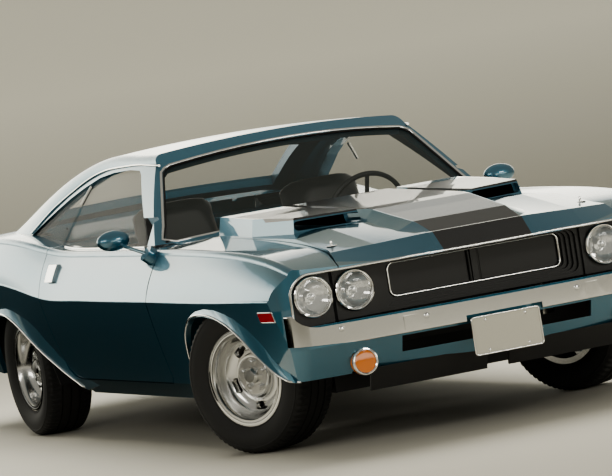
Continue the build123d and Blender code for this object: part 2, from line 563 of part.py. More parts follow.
# A scoop on each side of the bulge, its face turned outwards.
SCOOP_LINE = [(-1900, 944), (-1650, 951), (-1250, 963), (-860, 979), (-700, 979)]
SCOOP_PLAN = [(225, -1742), (564, -1626), (620, -1247), (620, -700), (225, -700)]
RAISED_BASE, RAISED_TOP = 740.0, 1010.0
RAISED_WALL = 18.0
RAISED_DRAFT = 12.0           # lean of the side walls, degrees
SLOT = (262.0, 528.0, 897.0, 938.0, 17.0)     # x from, x to, z from, z to, corner radius
SLOT_FRONT, SLOT_BACK = -1745.0, -1560.0


def swell(drop):
    """The raised front of the hood, lowered by drop inside and out."""
    wires = []
    rows = [(-x, *rest) for x, *rest in reversed(SWELL[1:])] + SWELL
    for x, lip_y, lip_z, crease_y, crease_z, shelf_z, tail_z in rows:
        top = [(lip_y + drop * 0.4, lip_z - drop), (crease_y, crease_z - drop),
               (SHELF_Y, shelf_z - drop), (SHELF_TAIL_Y, tail_z - drop)]
        under = [(SHELF_TAIL_Y, tail_z - drop - SWELL_DEPTH), (SHELF_Y, shelf_z - drop - SWELL_DEPTH),
                 (lip_y + drop * 0.4 + SWELL_DEPTH, lip_z - drop - 24)]
        wires.append(Wire.make_polygon([(x, y, z) for y, z in top + under], close=True))
    return Solid.make_loft(wires, ruled=True)


def bulge(drop):
    """The bulge down the hood's middle, lowered and set back by drop."""
    wires = []
    for y, top, top_z, foot, foot_z in BULGE:
        right = [(foot, foot_z - drop - SWELL_DEPTH), (foot, foot_z - drop), (top, top_z - drop)]
        outline = right + [(-x, z) for x, z in reversed(right)]
        wires.append(Wire.make_polygon([(x, y + drop, z) for x, z in outline], close=True))
    return Solid.make_loft(wires, ruled=True)


def scoop(inset):
    """A scoop under its side profile, with drafted walls round its plan."""
    line = [(y, z - inset) for y, z in SCOOP_LINE]
    foot = RAISED_BASE - SWELL_DEPTH
    under = side_prism(line + [(line[-1][0], foot), (line[0][0] + 40, foot)], -700, 700)
    mid_x = sum(x for x, _ in SCOOP_PLAN) / len(SCOOP_PLAN)
    outline = [(x + (inset if x < mid_x else -inset), y + inset) for x, y in SCOOP_PLAN]
    base = Face(Wire.make_polygon([(x, y, RAISED_BASE) for x, y in outline], close=True))
    return under & Solid.extrude_taper(base, Vector(0, 0, RAISED_TOP - RAISED_BASE), RAISED_DRAFT)


hood_area = hood_prism() & block(-HALF_WIDTH, HALF_WIDTH, FRONT_END, HOOD_REAR, MOUTH_TOP - 8, 1100)
outside = body + swell(0) + bulge(0) + both(scoop(0))
behind = block(-700, 700, NOSE, HOOD_REAR - HOOD_BOW - RAISED_WALL, 600, 1100)
inside = swell(SKIN) + bulge(RAISED_WALL) + both(scoop(RAISED_WALL))
hood = (outside & hood_area) - core - (inside & behind & ends_form(SKIN)) - opening
slot_x0, slot_x1, slot_z0, slot_z1, slot_r = SLOT
slot = block(slot_x0, slot_x1, SLOT_FRONT, SLOT_BACK, slot_z0, slot_z1)
hood = hood - both(fillet(slot.edges().filter_by(Axis.Y), slot_r))
for s in (-1, 1):
    hood = hood + rod((s * HOOD_HINGE_X - 12, HOOD_REAR, hood_z), (s * HOOD_HINGE_X + 12, HOOD_REAR, hood_z), HOOD_HINGE_R)
    hood = hood + block(s * HOOD_HINGE_X - 12, s * HOOD_HINGE_X + 12, HOOD_REAR - 34, HOOD_REAR, hood_z - HOOD_HINGE_R, hood_z)

lid = (skin & lid_prism()) - block(-1100, 1100, -3000, LID_FRONT - 1, 0, 2000)
trunk_lid = lid
for s in (-1, 1):
    trunk_lid = trunk_lid + rod((s * LID_HINGE_X - 12, LID_FRONT, lid_z), (s * LID_HINGE_X + 12, LID_FRONT, lid_z), LID_HINGE_R)

valance = (front_skin & valance_zone) - block(-430, 430, FRONT_END - 50, NOSE + 100, 374, 440)
front_valance = valance - block(-VALANCE_HALF + 40, VALANCE_HALF - 40, NOSE + 60, 0, 0, 330)

# ------------------------------------------------------------------ glass
windshield = (screen_form(GLASS_SET) - screen_form(GLASS_SET + GLASS)) & screen_outline(0.3)
rear_window = glass_slab & rear_screen_prism(0.3)
panes = glass_slab - body
door_glass_left = panes & side_prism(side(DOOR_PANE), 300, 1000)
quarter = panes & side_prism(side(QUARTER_PANE), 300, 1000)
quarter_glass = both(quarter)

# ------------------------------------------------------------------ front end
GRILLE_BACK = NOSE + 190.0
LAMP_R = 86.0
LAMP_BODY_R = 79.0
BEZEL = 15.0
# lamp x, z, and how far its bezel's face is behind the nose
LAMPS = [(766.0, 656.0, 80.0), (569.0, 653.0, 112.0)]
RIDGES = 5


def rounded(half_w, z0, z1, r, y0, y1):
    bar = block(-half_w, half_w, y0, y1, z0, z1)
    return fillet(bar.edges().filter_by(Axis.Y), r)


recess = mouth(0.3)
panel_line = [(MOUTH_HALF + 20, LAMPS[0][2] + BEZEL), (682, LAMPS[0][2] + BEZEL), (655, LAMPS[1][2] + BEZEL), (470, LAMPS[1][2] + BEZEL)]
face_pts = [(x, NOSE + d) for x, d in panel_line]
back_pts = [(x, NOSE + d + 12) for x, d in reversed(panel_line)]
lamp_panel = plan_prism(face_pts + back_pts, MOUTH_BOTTOM, MOUTH_TOP)
grille = both(lamp_panel) + block(-480, 480, GRILLE_BACK, GRILLE_BACK + 8, MOUTH_BOTTOM, MOUTH_TOP)
for i in range(RIDGES):
    grow, front = 17.0 * i, GRILLE_BACK - 8 - 11.0 * i
    inner = rounded(384 + grow, 597 - 9.5 * i, 727 + 3.2 * i, 24 + 3 * i, front - 5, GRILLE_BACK + 20)
    outer_w, outer_z0, outer_z1 = (384 + grow + 17, 597 - 9.5 * (i + 1), 727 + 3.2 * (i + 1)) if i < RIDGES - 1 else (480, MOUTH_BOTTOM, MOUTH_TOP)
    grille = grille + (block(-outer_w, outer_w, front, GRILLE_BACK, outer_z0, outer_z1) - inner)
grille = grille + block(-14, 14, GRILLE_BACK - 16, GRILLE_BACK, 597, 727)
headlamps = []
for x, z, back in LAMPS:
    for s in (-1, 1):
        face_y = NOSE + back
        grille = grille - rod((s * x, face_y, z), (s * x, face_y + 90, z), LAMP_BODY_R + 0.5)
        ring = rod((s * x, face_y, z), (s * x, face_y + BEZEL, z), LAMP_R) - rod((s * x, face_y - 1, z), (s * x, face_y + 9, z), LAMP_R - 10)
        bowl = rod((s * x, face_y + BEZEL, z), (s * x, face_y + 60, z), LAMP_BODY_R)
        dome = Solid.make_sphere(150, Plane((s * x, face_y + 152, z))) & rod((s * x, face_y - 20, z), (s * x, face_y + 12, z), LAMP_R - 10)
        headlamps.append(ring + bowl + dome)
grille = grille & recess
headlamps = Compound(children=[s for lamp in headlamps for s in lamp.solids()])

TURN_X, TURN_Z, TURN_R = 598.0, 363.0, 55.0
turn_lamps = []
for s in (-1, 1):
    front_valance = front_valance - rod((s * TURN_X, NOSE - 20, TURN_Z), (s * TURN_X, NOSE + 120, TURN_Z), TURN_R - 5)
    turn_lamps.append(rod((s * TURN_X, NOSE + 52, TURN_Z), (s * TURN_X, NOSE + 110, TURN_Z), TURN_R - 5.0)
                      + (rod((s * TURN_X, NOSE + 52, TURN_Z), (s * TURN_X, NOSE + 80, TURN_Z), TURN_R) - body))
proud = body_form(-4)
marker_parts = []
MARKERS = [(FRONT_AXLE - 652, 580, 615), (REAR_AXLE + 800, 600, 635)]      # middle y, z from, z to
MARKER_HALF, MARKER_LEAN = 60.0, 5.0
for y, z0, z1 in MARKERS:
    strip = (proud & side_prism([(y - MARKER_HALF - MARKER_LEAN, z0), (y + MARKER_HALF - MARKER_LEAN, z0),
                                 (y + MARKER_HALF + MARKER_LEAN, z1), (y - MARKER_HALF + MARKER_LEAN, z1)], 800, HALF_WIDTH + 20)) - body
    marker_parts += [strip, mirrored(strip)]
marker_lamps = Compound(children=[v for part in turn_lamps + marker_parts for v in part.solids()])

# bumpers: a bowed bar with its ends carried round the corners
BUMPER_T = 20.0
BUMPER_END = 898.0
BUMPER_EDGE = 7.0             # its rounded edges
# the outer plan's corner: in from the end, back from the face
BUMPER_CORNER = [(70.0, 72.0), (20.0, 100.0), (0.0, 150.0)]


def bumper(end, toward, z0, z1, wrap):
    """A bar with its face at end; toward is +1 or -1, the way to the car's middle."""
    def plan(inset):
        y = end + toward * inset
        right = [(BUMPER_END - inset - dx, y + toward * dy * (1 - inset / 400), z0) for dx, dy in BUMPER_CORNER]
        return y, right, [(-x, v, z) for x, v, z in right], (BUMPER_END - inset, end + toward * wrap, z0)

    (y, right, left, tip), (y_in, right_in, left_in, tip_in) = plan(0), plan(BUMPER_T)
    other, other_in = (-tip[0], *tip[1:]), (-tip_in[0], *tip_in[1:])
    arc, line = Edge.make_three_point_arc, Edge.make_line
    edges = [line(other, left[2]), arc(left[2], left[1], left[0]), arc(left[0], (0, y, z0), right[0]), arc(*right),
             line(right[2], tip), line(tip, tip_in), line(tip_in, right_in[2]), arc(right_in[2], right_in[1], right_in[0]),
             arc(right_in[0], (0, y_in, z0), left_in[0]), arc(*left_in), line(left_in[2], other_in), line(other_in, other)]
    bar = Solid.extrude(Face(Wire(edges)), Vector(0, 0, z1 - z0))
    return bar


def softened(bar, end):
    """Rounds the edges of a bumper's outer face."""
    edges = [e for e in bar.edges() if abs(e.center().Y - end) < 40 and e.length > 900]
    return fillet(edges, BUMPER_EDGE)


BUMPER_Z = (452.0, 535.0)
BUMPER_RISE = 62.0
TIP_RISE = 18.0               # the bar's underside climbs towards its ends
SCALLOP = [(789.0, 0.0), (825.0, 7.0), (856.0, 22.0), (872.0, 38.0), (883.0, 59.0), (885.0, 90.0)]     # half width, above the bar
IRON_X = (380.0, 440.0)
front_bar = softened(bumper(FRONT_END, 1, BUMPER_Z[0], BUMPER_Z[1] + BUMPER_RISE, 165), FRONT_END)
raised_line = [(x, BUMPER_Z[1] + dz) for x, dz in SCALLOP]
scallop = front_prism([(-x, z) for x, z in reversed(raised_line)] + raised_line, FRONT_END - 20, NOSE + 400)
climb = front_prism([(600, BUMPER_Z[0]), (HALF_WIDTH, BUMPER_Z[0] + TIP_RISE * 1.2), (HALF_WIDTH, BUMPER_Z[0] - 40), (600, BUMPER_Z[0] - 40)], FRONT_END - 20, NOSE + 400)
front_bumper = front_bar - scallop - both(climb) - block(-172, 172, FRONT_END - 20, NOSE, 440, 478)
irons = both(block(*IRON_X, FRONT_END + 28, NOSE + 90, 464, 522)) - body
front_bumper = front_bumper + (irons - front_bar) + both(block(*IRON_X, FRONT_END + 14, FRONT_END + 60, 464, 522))
front_bumper = front_bumper - body
REAR_BUMPER_Z = (470.0, 566.0)
rear_bar = softened(bumper(REAR_END, -1, *REAR_BUMPER_Z, 235), REAR_END)
rear_irons = both(block(*IRON_X, TAIL - 90, REAR_END - 14, 490, 546)) - body
rear_bumper = (rear_bar + rear_irons) - body

PLATE_W, PLATE_H = 305.0, 152.0
plate_y = FRONT_END + 6.0
front_plate = block(-PLATE_W / 2, PLATE_W / 2, plate_y, plate_y + 3, 310, 310 + PLATE_H) + (block(-60, 60, plate_y + 3, NOSE + 100, 326, 366) - body)
TAIL_LAMP_Z = (655.0, 760.0)
tail_lamps = both((ends_form(-7) & block(90, 700, TAIL - 160, TAIL + 30, *TAIL_LAMP_Z)) - ends_form())

SPOILER_TOP, SPOILER_LOW = 330.0, 237.0
blade = side_prism([(NOSE + 62, SPOILER_TOP), (NOSE + 74, SPOILER_TOP), (NOSE + 108, SPOILER_LOW + 2), (NOSE + 97, SPOILER_LOW)], 50, 575)
chin_spoilers = both(blade - front_valance - rod((TURN_X, NOSE - 20, TURN_Z), (TURN_X, NOSE + 200, TURN_Z), TURN_R + 1))

# ------------------------------------------------------------------ structure under the panels
APRON_X = 450.0
APRON_T = 12.0
ENGINE_BAY_REAR = FRONT_AXLE + 662.0
RAIL_Z = (300.0, 380.0)
apron = block(APRON_X, APRON_X + APRON_T, NOSE + 250, ENGINE_BAY_REAR, 330, 712)
apron = apron + block(APRON_X, HALF_WIDTH, FRONT_AXLE - 560, HINGE_Y - 96, 700, 712)
apron = apron + block(APRON_X - 60, APRON_X, NOSE + 250, ENGINE_BAY_REAR, *RAIL_Z)
support = block(-HALF_WIDTH, HALF_WIDTH, NOSE + 245, NOSE + 257, 330, 742) - block(-360, 360, NOSE, NOSE + 400, 400, 700)
nose_rails = block(APRON_X - 60, APRON_X, NOSE + 24, NOSE + 245, 470, 516)
front_structure = ((both(apron + nose_rails) + support) & core) - arches[0] - body_shell

floor = block(-CABIN_X, CABIN_X, ENGINE_BAY_REAR, REAR_AXLE - 245, FLOOR_Z - FLOOR_T, FLOOR_Z)
TUNNEL_HALF, TUNNEL_TOP = 130.0, 372.0
floor = floor - block(-TUNNEL_HALF + 12, TUNNEL_HALF - 12, -3000, 3000, 0, TUNNEL_TOP)
tunnel = block(-TUNNEL_HALF, TUNNEL_HALF, ENGINE_BAY_REAR, REAR_AXLE - 245, FLOOR_Z - FLOOR_T, TUNNEL_TOP)
tunnel = tunnel - block(-TUNNEL_HALF + 12, TUNNEL_HALF - 12, -3000, 3000, 0, TUNNEL_TOP - 12)
firewall = block(8 - CABIN_X, CABIN_X - 8, ENGINE_BAY_REAR, ENGINE_BAY_REAR + 12, FLOOR_Z, 856)
firewall = firewall - block(-TUNNEL_HALF + 12, TUNNEL_HALF - 12, -3000, 3000, 0, TUNNEL_TOP - 12)
riser = block(-CABIN_X, CABIN_X, REAR_AXLE - 257, REAR_AXLE - 245, FLOOR_Z, TRUNK_FLOOR_Z)
riser = riser - block(-70, 70, REAR_AXLE - 300, REAR_AXLE - 200, 0, TUNNEL_TOP + 20)
trunk_floor = block(-HALF_WIDTH, HALF_WIDTH, REAR_AXLE - 257, TAIL, TRUNK_FLOOR_Z - 12, TRUNK_FLOOR_Z) & core
ARCH_HALF = 400.0
WELL_X = 590.0
well = block(WELL_X, HALF_WIDTH, REAR_AXLE - ARCH_HALF, REAR_AXLE + ARCH_HALF, FLOOR_Z, 745)
well_room = block(WELL_X + 10, HALF_WIDTH + 50, REAR_AXLE - ARCH_HALF + 10, REAR_AXLE + ARCH_HALF - 10, 0, 735)
well = (well & core) - well_room
floor_pan = (floor + tunnel + firewall + riser + trunk_floor) - both(well_room) + both(well)
axle_slot = block(WELL_X - 5, WELL_X + 15, REAR_AXLE - 60, REAR_AXLE + 60, 0, TYRE_RADIUS + 95)
floor_pan = floor_pan - both(axle_slot) - body_shell

# ------------------------------------------------------------------ cabin
SEAT_X = 370.0
WHEEL_R = 185.0
COLUMN_RISE = 22.0
dash = side_prism([(FRONT_AXLE + y, z) for y, z in
                   ((712, 620), (712, 850), (850, 888), (1055, 884), (1090, 820), (1060, 700), (975, 620))], 8 - CABIN_X, CABIN_X - 8)
dash = dash & screen_form(ROOF_WALL + 8)
dashboard = dash - body_shell
tilt = radians(COLUMN_RISE)
hub_at = Vector(SEAT_X, FRONT_AXLE + 1245, 868)
axis_dir = Vector(0, cos(tilt), sin(tilt))
column_foot = hub_at - axis_dir * 560
steering_column = rod(tuple(column_foot), tuple(hub_at - axis_dir * 50.3), 24) - dashboard - floor_pan
steering_column = steering_column - rod(tuple(hub_at - axis_dir * 130), tuple(hub_at), 10 + SPINDLE_FIT)
ring_face = Face(Wire.make_polygon([(WHEEL_R + 12 * cos(radians(22.5 + 45 * i)), 0, 12 * sin(radians(22.5 + 45 * i))) for i in range(8)]))
steering_wheel = Solid.revolve(ring_face, 360, Axis.Z) + block(-WHEEL_R, WHEEL_R, -9, 9, -7, 3) + block(-9, 9, -WHEEL_R, 0, -7, 3)
steering_wheel = steering_wheel + Solid.make_cylinder(32, 58, Plane((0, 0, -50))) + Solid.make_cylinder(10, 60, Plane((0, 0, -90)))
steering_wheel = steering_wheel.rotate(Axis.X, COLUMN_RISE - 90).moved(Location(hub_at))


def seat(x):
    base = block(x - 190, x + 190, FRONT_AXLE + 1200, FRONT_AXLE + 1640, FLOOR_Z, 330)
    cushion = side_prism([(FRONT_AXLE + y, z) for y, z in ((1150, 330), (1150, 452), (1200, 486), (1620, 446), (1640, 330))], x - 232, x + 232)
    back = side_prism([(FRONT_AXLE + y, z) for y, z in ((1622, 400), (1745, 400), (1830, 1040), (1805, 1086), (1735, 1078), (1700, 1000))], x - 228, x + 228)
    back = fillet(back.edges().filter_by(Axis.X), 18)
    return base + cushion + back


front_seats = both(seat(SEAT_X))
bench = side_prism([(REAR_AXLE + y, z) for y, z in ((-680, FLOOR_Z), (-680, 440), (-640, 462), (-320, 425), (-257, 425), (-257, FLOOR_Z))], 8 - WELL_X, WELL_X - 8)
bench_back = side_prism([(REAR_AXLE + y, z) for y, z in ((-370, 400), (-320, 860), (-290, 884), (-258, 884), (-258, 400))], 8 - WELL_X, WELL_X - 8)
rear_seat = (bench + bench_back) - block(-TUNNEL_HALF, TUNNEL_HALF, 0, REAR_AXLE, 0, TUNNEL_TOP) - floor_pan - body_shell
console = block(-100, 100, FRONT_AXLE + 960, FRONT_AXLE + 1700, TUNNEL_TOP, TUNNEL_TOP + 75) + rod((0, FRONT_AXLE + 1230, TUNNEL_TOP + 60), (0, FRONT_AXLE + 1210, TUNNEL_TOP + 210), 9)
console = console + Solid.make_sphere(24, Plane((0, FRONT_AXLE + 1210, TUNNEL_TOP + 215))) - dashboard

# ------------------------------------------------------------------ running gear
def spun(outline):
    """A wheel profile of (radius, outward) points turned about the axle line X."""
    wire = Wire.make_polygon([(s, 0, r) for r, s in outline])
    return Solid.revolve(Face(wire), 360, Axis.X)


ENGINE_Z = (258.0, 780.0)
engine = block(-300, 300, FRONT_AXLE - 280, FRONT_AXLE + 420, *ENGINE_Z)
gearbox = block(-95, 95, FRONT_AXLE + 420, FRONT_AXLE + 1000, 190, 352)
axle_z = TYRE_RADIUS
shaft = rod((0, FRONT_AXLE + 1000, 290), (0, REAR_AXLE - 120, axle_z), 36)
driveline = gearbox + (shaft - rod((0, REAR_AXLE - 125, axle_z), (0, REAR_AXLE, axle_z), 90))
tube_end = TRACK_REAR / 2 - 46.0
axle_half = [(0, TRACK_REAR / 2 + 20), (SPINDLE_R, TRACK_REAR / 2 + 20), (SPINDLE_R, tube_end), (38, tube_end), (38, 118), (92, 62), (112, 20)]
rear_axle = spun(axle_half + [(r, -x) for r, x in reversed(axle_half)]).moved(Location((0, REAR_AXLE, axle_z)))
driveline = driveline - rear_axle
SPRING_X = 520.0
spring_arc = [(REAR_AXLE - 600, 190.0), (REAR_AXLE, 236.0), (REAR_AXLE + 640, 372.0)]


def leaf(x):
    lower = [(y, z) for y, z in spring_arc]
    upper = [(y, z + 22) for y, z in spring_arc]
    edges = [Edge.make_three_point_arc(*[(x - 30, y, z) for y, z in lower]),
             Edge.make_line((x - 30, *lower[2]), (x - 30, *upper[2])),
             Edge.make_three_point_arc(*[(x - 30, y, z) for y, z in reversed(upper)]),
             Edge.make_line((x - 30, *upper[0]), (x - 30, *lower[0]))]
    spring = wire_prism(edges, (60, 0, 0))
    pad = block(x - 34, x + 34, REAR_AXLE - 60, REAR_AXLE + 60, 236 + 10, axle_z - 20)
    front_eye = block(x - 34, x + 34, REAR_AXLE - 620, REAR_AXLE - 590, 188, FLOOR_Z - FLOOR_T)
    shackle = block(x - 34, x + 34, REAR_AXLE + 620, REAR_AXLE + 645, 370, TRUNK_FLOOR_Z - 12)
    return spring + pad + front_eye + shackle


rear_axle = rear_axle + both(leaf(SPRING_X))
fuel_tank = block(-400, 400, REAR_AXLE + 470, REAR_AXLE + 930, 262, TRUNK_FLOOR_Z - 12)
EXHAUST_Z = 182.0
pipe_x = 210.0
exhaust = rod((pipe_x, FRONT_AXLE + 300, EXHAUST_Z), (pipe_x, REAR_AXLE - 400, EXHAUST_Z), 26) + rod((pipe_x, REAR_AXLE - 500, EXHAUST_Z), (pipe_x, REAR_AXLE - 330, EXHAUST_Z), 52)
exhaust = exhaust + rod((pipe_x, REAR_AXLE - 340, EXHAUST_Z), (430, REAR_AXLE - 80, 232), 24) + rod((430, REAR_AXLE - 84, 232), (430, TAIL - 20, 262), 24)
exhaust = exhaust + block(pipe_x - 8, pipe_x + 8, REAR_AXLE - 480, REAR_AXLE - 464, EXHAUST_Z + 40, FLOOR_Z - FLOOR_T)
exhaust = both(exhaust - body_shell)

wheel_z = TYRE_RADIUS
front_hub_x = TRACK_FRONT / 2
ball_rise = 110.0
crossmember = block(-440, 440, FRONT_AXLE - 70, FRONT_AXLE + 70, 190, 258) + both(block(400, 440, FRONT_AXLE - 60, FRONT_AXLE + 60, 258, RAIL_Z[0]))
ball_low, ball_high = (KINGPIN_X, FRONT_AXLE, wheel_z - ball_rise), (KINGPIN_X, FRONT_AXLE, wheel_z + ball_rise)
BALL_R = 18.0
low_arm = rod((425, FRONT_AXLE, 226), (KINGPIN_X - 6, FRONT_AXLE, wheel_z - ball_rise), 17)
high_arm = rod((APRON_X + APRON_T, FRONT_AXLE, wheel_z + ball_rise + 8), (KINGPIN_X - 6, FRONT_AXLE, wheel_z + ball_rise), 14)
seat_balls = Solid.make_sphere(BALL_R + 0.3, Plane(ball_low)) + Solid.make_sphere(BALL_R + 0.3, Plane(ball_high)) + rod(ball_low, ball_high, 14)
front_suspension = crossmember + both(low_arm - seat_balls) + both((high_arm - seat_balls) - front_structure)

upright = block(front_hub_x - 100, front_hub_x - 46, FRONT_AXLE - 28, FRONT_AXLE + 28, wheel_z - ball_rise + 26, wheel_z + ball_rise - 26)
upright = upright + rod(ball_low, (KINGPIN_X, FRONT_AXLE, wheel_z - 60), 12) + rod(ball_high, (KINGPIN_X, FRONT_AXLE, wheel_z + 60), 12)
upright = upright + Solid.make_sphere(BALL_R, Plane(ball_low)) + Solid.make_sphere(BALL_R, Plane(ball_high))
upright = upright + rod((front_hub_x - 60, FRONT_AXLE, wheel_z), (front_hub_x + 20, FRONT_AXLE, wheel_z), SPINDLE_R)
upright = upright + block(front_hub_x - 104, front_hub_x - 80, FRONT_AXLE + 20, FRONT_AXLE + 130, wheel_z - 75, wheel_z - 50)


def turned(shape, side):
    """Turned about a kingpin to the parked steering angle."""
    return shape.rotate(Axis((side * KINGPIN_X, FRONT_AXLE, 0), (0, 0, 1)), STEER_REST)


# a rim's profile, as (radius, outward): its barrel, back and hub, then its bowl's face
RIM_BACK = [
    (BEAD_RADIUS - 9, RIM_HALF), (FLANGE_RADIUS, RIM_HALF), (FLANGE_RADIUS, 88), (BEAD_RADIUS, 86), (BEAD_RADIUS, 60),
    (BEAD_RADIUS - 18, 42), (BEAD_RADIUS - 18, -20), (BEAD_RADIUS, -60), (BEAD_RADIUS, -86), (FLANGE_RADIUS, -88),
    (FLANGE_RADIUS, -RIM_HALF), (BEAD_RADIUS - 8, -RIM_HALF), (BEAD_RADIUS - 8, -62), (BEAD_RADIUS - 26, -22),
    (BEAD_RADIUS - 26, 6), (146, -2), (104, -8), (60, -8), (46, -12), (140, -18), (140, -34), (38, -34),
    (SPINDLE_R + SPINDLE_FIT, -34), (SPINDLE_R + SPINDLE_FIT, 44), (78, 44)]
RIM_FACE = [(78, 44), (86, 41), (91, 31), (98, 21), (112, 16), (130, 18), (148, 26), (161, 42), (168, 62), (173, 82), (BEAD_RADIUS - 9, RIM_HALF)]
PAD_S = 44.0                  # face of the pad the nuts stand on


def wheel_turned(line, curve):
    """A closed profile, its last stretch a smooth curve, turned about the axle line X."""
    edges = [Edge.make_line((s0, 0, r0), (s1, 0, r1)) for (r0, s0), (r1, s1) in zip(line, line[1:])]
    edges.append(Edge.make_spline([Vector(s, 0, r) for r, s in curve]))
    return Solid.revolve(Face(Wire(edges)), 360, Axis.X)


disc = wheel_turned(RIM_BACK, RIM_FACE)
cap = spun([(0, PAD_S + 0.3), (SPINDLE_R + SPINDLE_FIT, PAD_S + 0.3), (SPINDLE_R + SPINDLE_FIT, PAD_S - 4), (36, PAD_S - 4),
            (36, 60), (28, 68), (0, 70)])
rim = disc
SLOTS = 5
for i in range(SLOTS):
    a = 360 / SLOTS * i
    slot = fillet(block(-10, 60, -34, 34, 112, 146).edges().filter_by(Axis.X), 15)
    rim = rim - slot.rotate(Axis.X, a + 36)
for i in range(LUG_COUNT):
    a = radians(360 / LUG_COUNT * i)
    y, z = LUG_PCD / 2 * sin(a), LUG_PCD / 2 * cos(a)
    rim = rim + rod((30, y, z), (62, y, z), LUG_R)
rim = rim + cap
tyre_outline = [(BEAD_RADIUS, 85.5), (FLANGE_RADIUS + 1, 85.5), (226, 106), (TYRE_RADIUS - 72, TYRE_WIDTH / 2), (TYRE_RADIUS - 38, TYRE_WIDTH / 2 - 2),
                (TYRE_RADIUS - 12, 103), (TYRE_RADIUS - 3, 90), (TYRE_RADIUS, 60)]
tyre = spun(tyre_outline + [(r, -s) for r, s in reversed(tyre_outline)])


REAR_WHEEL_TURN = 17.0        # the rear wheels stand at another angle about their axle


def placed(shape, side, track, y, turn=0.0):
    out = shape.rotate(Axis.X, turn) if turn else shape
    out = out if side > 0 else out.rotate(Axis.Z, 180)
    return out.moved(Location((side * track / 2, y, wheel_z)))


# ------------------------------------------------------------------ mirrors and handles
MIRROR_AT = (950.0, FRONT_AXLE + 1008, 943.0)
MIRROR_HALF = (76.0, 46.0)    # half its width and half its height
MIRROR_BACK = 14.0            # its flat glass stands this far behind its middle
egg_line = [(MIRROR_HALF[0] * cos(radians(a)), MIRROR_HALF[1] * sin(radians(a))) for a in (4, 20, 45, 70, 90, 110, 135, 160, 176)]
egg_foot = [(egg_line[-1][0], 0), (egg_line[0][0], 0)]
egg_edges = [Edge.make_spline([Vector(x, 0, r) for x, r in egg_line])]
egg_edges += [Edge.make_line((a[0], 0, a[1]), (b[0], 0, b[1])) for a, b in zip([egg_line[-1]] + egg_foot, egg_foot + [egg_line[0]])]
egg = Solid.revolve(Face(Wire(egg_edges)), 360, Axis.X) - block(-100, 100, MIRROR_BACK, 100, -100, 100)
egg = egg.moved(Location(MIRROR_AT))
mirror_base = Solid.make_cylinder(38, 56, Plane((862, FRONT_AXLE + 735, 841.6), z_dir=(0.75, 0, 0.66)))
stalk = rod((900, FRONT_AXLE + 738, 874), (932, MIRROR_AT[1] - 30, 922), 8)
mirror_left = ((mirror_base + stalk) - body) + egg
handle_left = (body_form(-12) & block(800, HALF_WIDTH + 30, DOOR_REAR - 175, DOOR_REAR - 75, 763, 839)) - body

NODES = {
    "body_shell": body_shell, "floor_pan": floor_pan, "front_structure": front_structure,
    "fender_left": fender_left, "fender_right": mirrored(fender_left), "hood": hood, "trunk_lid": trunk_lid,
    "door_left": door_left, "door_right": mirrored(door_left), "door_glass_left": door_glass_left,
    "door_glass_right": mirrored(door_glass_left), "quarter_glass": quarter_glass, "windshield": windshield,
    "rear_window": rear_window, "front_valance": front_valance, "chin_spoilers": chin_spoilers, "grille": grille,
    "headlamps": headlamps, "marker_lamps": marker_lamps, "front_bumper": front_bumper, "rear_bumper": rear_bumper,
    "tail_lamps": tail_lamps, "front_plate": front_plate, "dashboard": dashboard, "steering_column": steering_column,
    "steering_wheel": steering_wheel, "front_seats": front_seats, "rear_seat": rear_seat, "console": console,
    "engine": engine, "driveline": driveline, "exhaust": exhaust, "fuel_tank": fuel_tank, "rear_axle": rear_axle,
    "front_suspension": front_suspension, "knuckle_left": turned(upright, 1), "knuckle_right": turned(mirrored(upright), -1),
    "mirror_left": mirror_left, "mirror_right": mirrored(mirror_left), "handle_left": handle_left,
    "handle_right": mirrored(handle_left),
}
for side_name, s in SIDES:
    NODES[f"rim_front_{side_name}"] = turned(placed(rim, s, TRACK_FRONT, FRONT_AXLE), s)
    NODES[f"tyre_front_{side_name}"] = turned(placed(tyre, s, TRACK_FRONT, FRONT_AXLE), s)
    NODES[f"rim_rear_{side_name}"] = placed(rim, s, TRACK_REAR, REAR_AXLE, REAR_WHEEL_TURN)
    NODES[f"tyre_rear_{side_name}"] = placed(tyre, s, TRACK_REAR, REAR_AXLE)

for name, shape in NODES.items():
    write(name, shape)
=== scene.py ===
# %% [markdown]
# # A two-door muscle car, dressed
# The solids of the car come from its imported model. This script gives them their
# finishes and adds what a workshop would fit last: tread, trim, lamps, cloth.
# Everything is in metres. The car faces -Y, and +X is its own left side.

# %% Load the car
import json
from math import atan2, cos, hypot, pi, radians, sin, sqrt

import bmesh
import bpy
from mathutils import Matrix, Vector

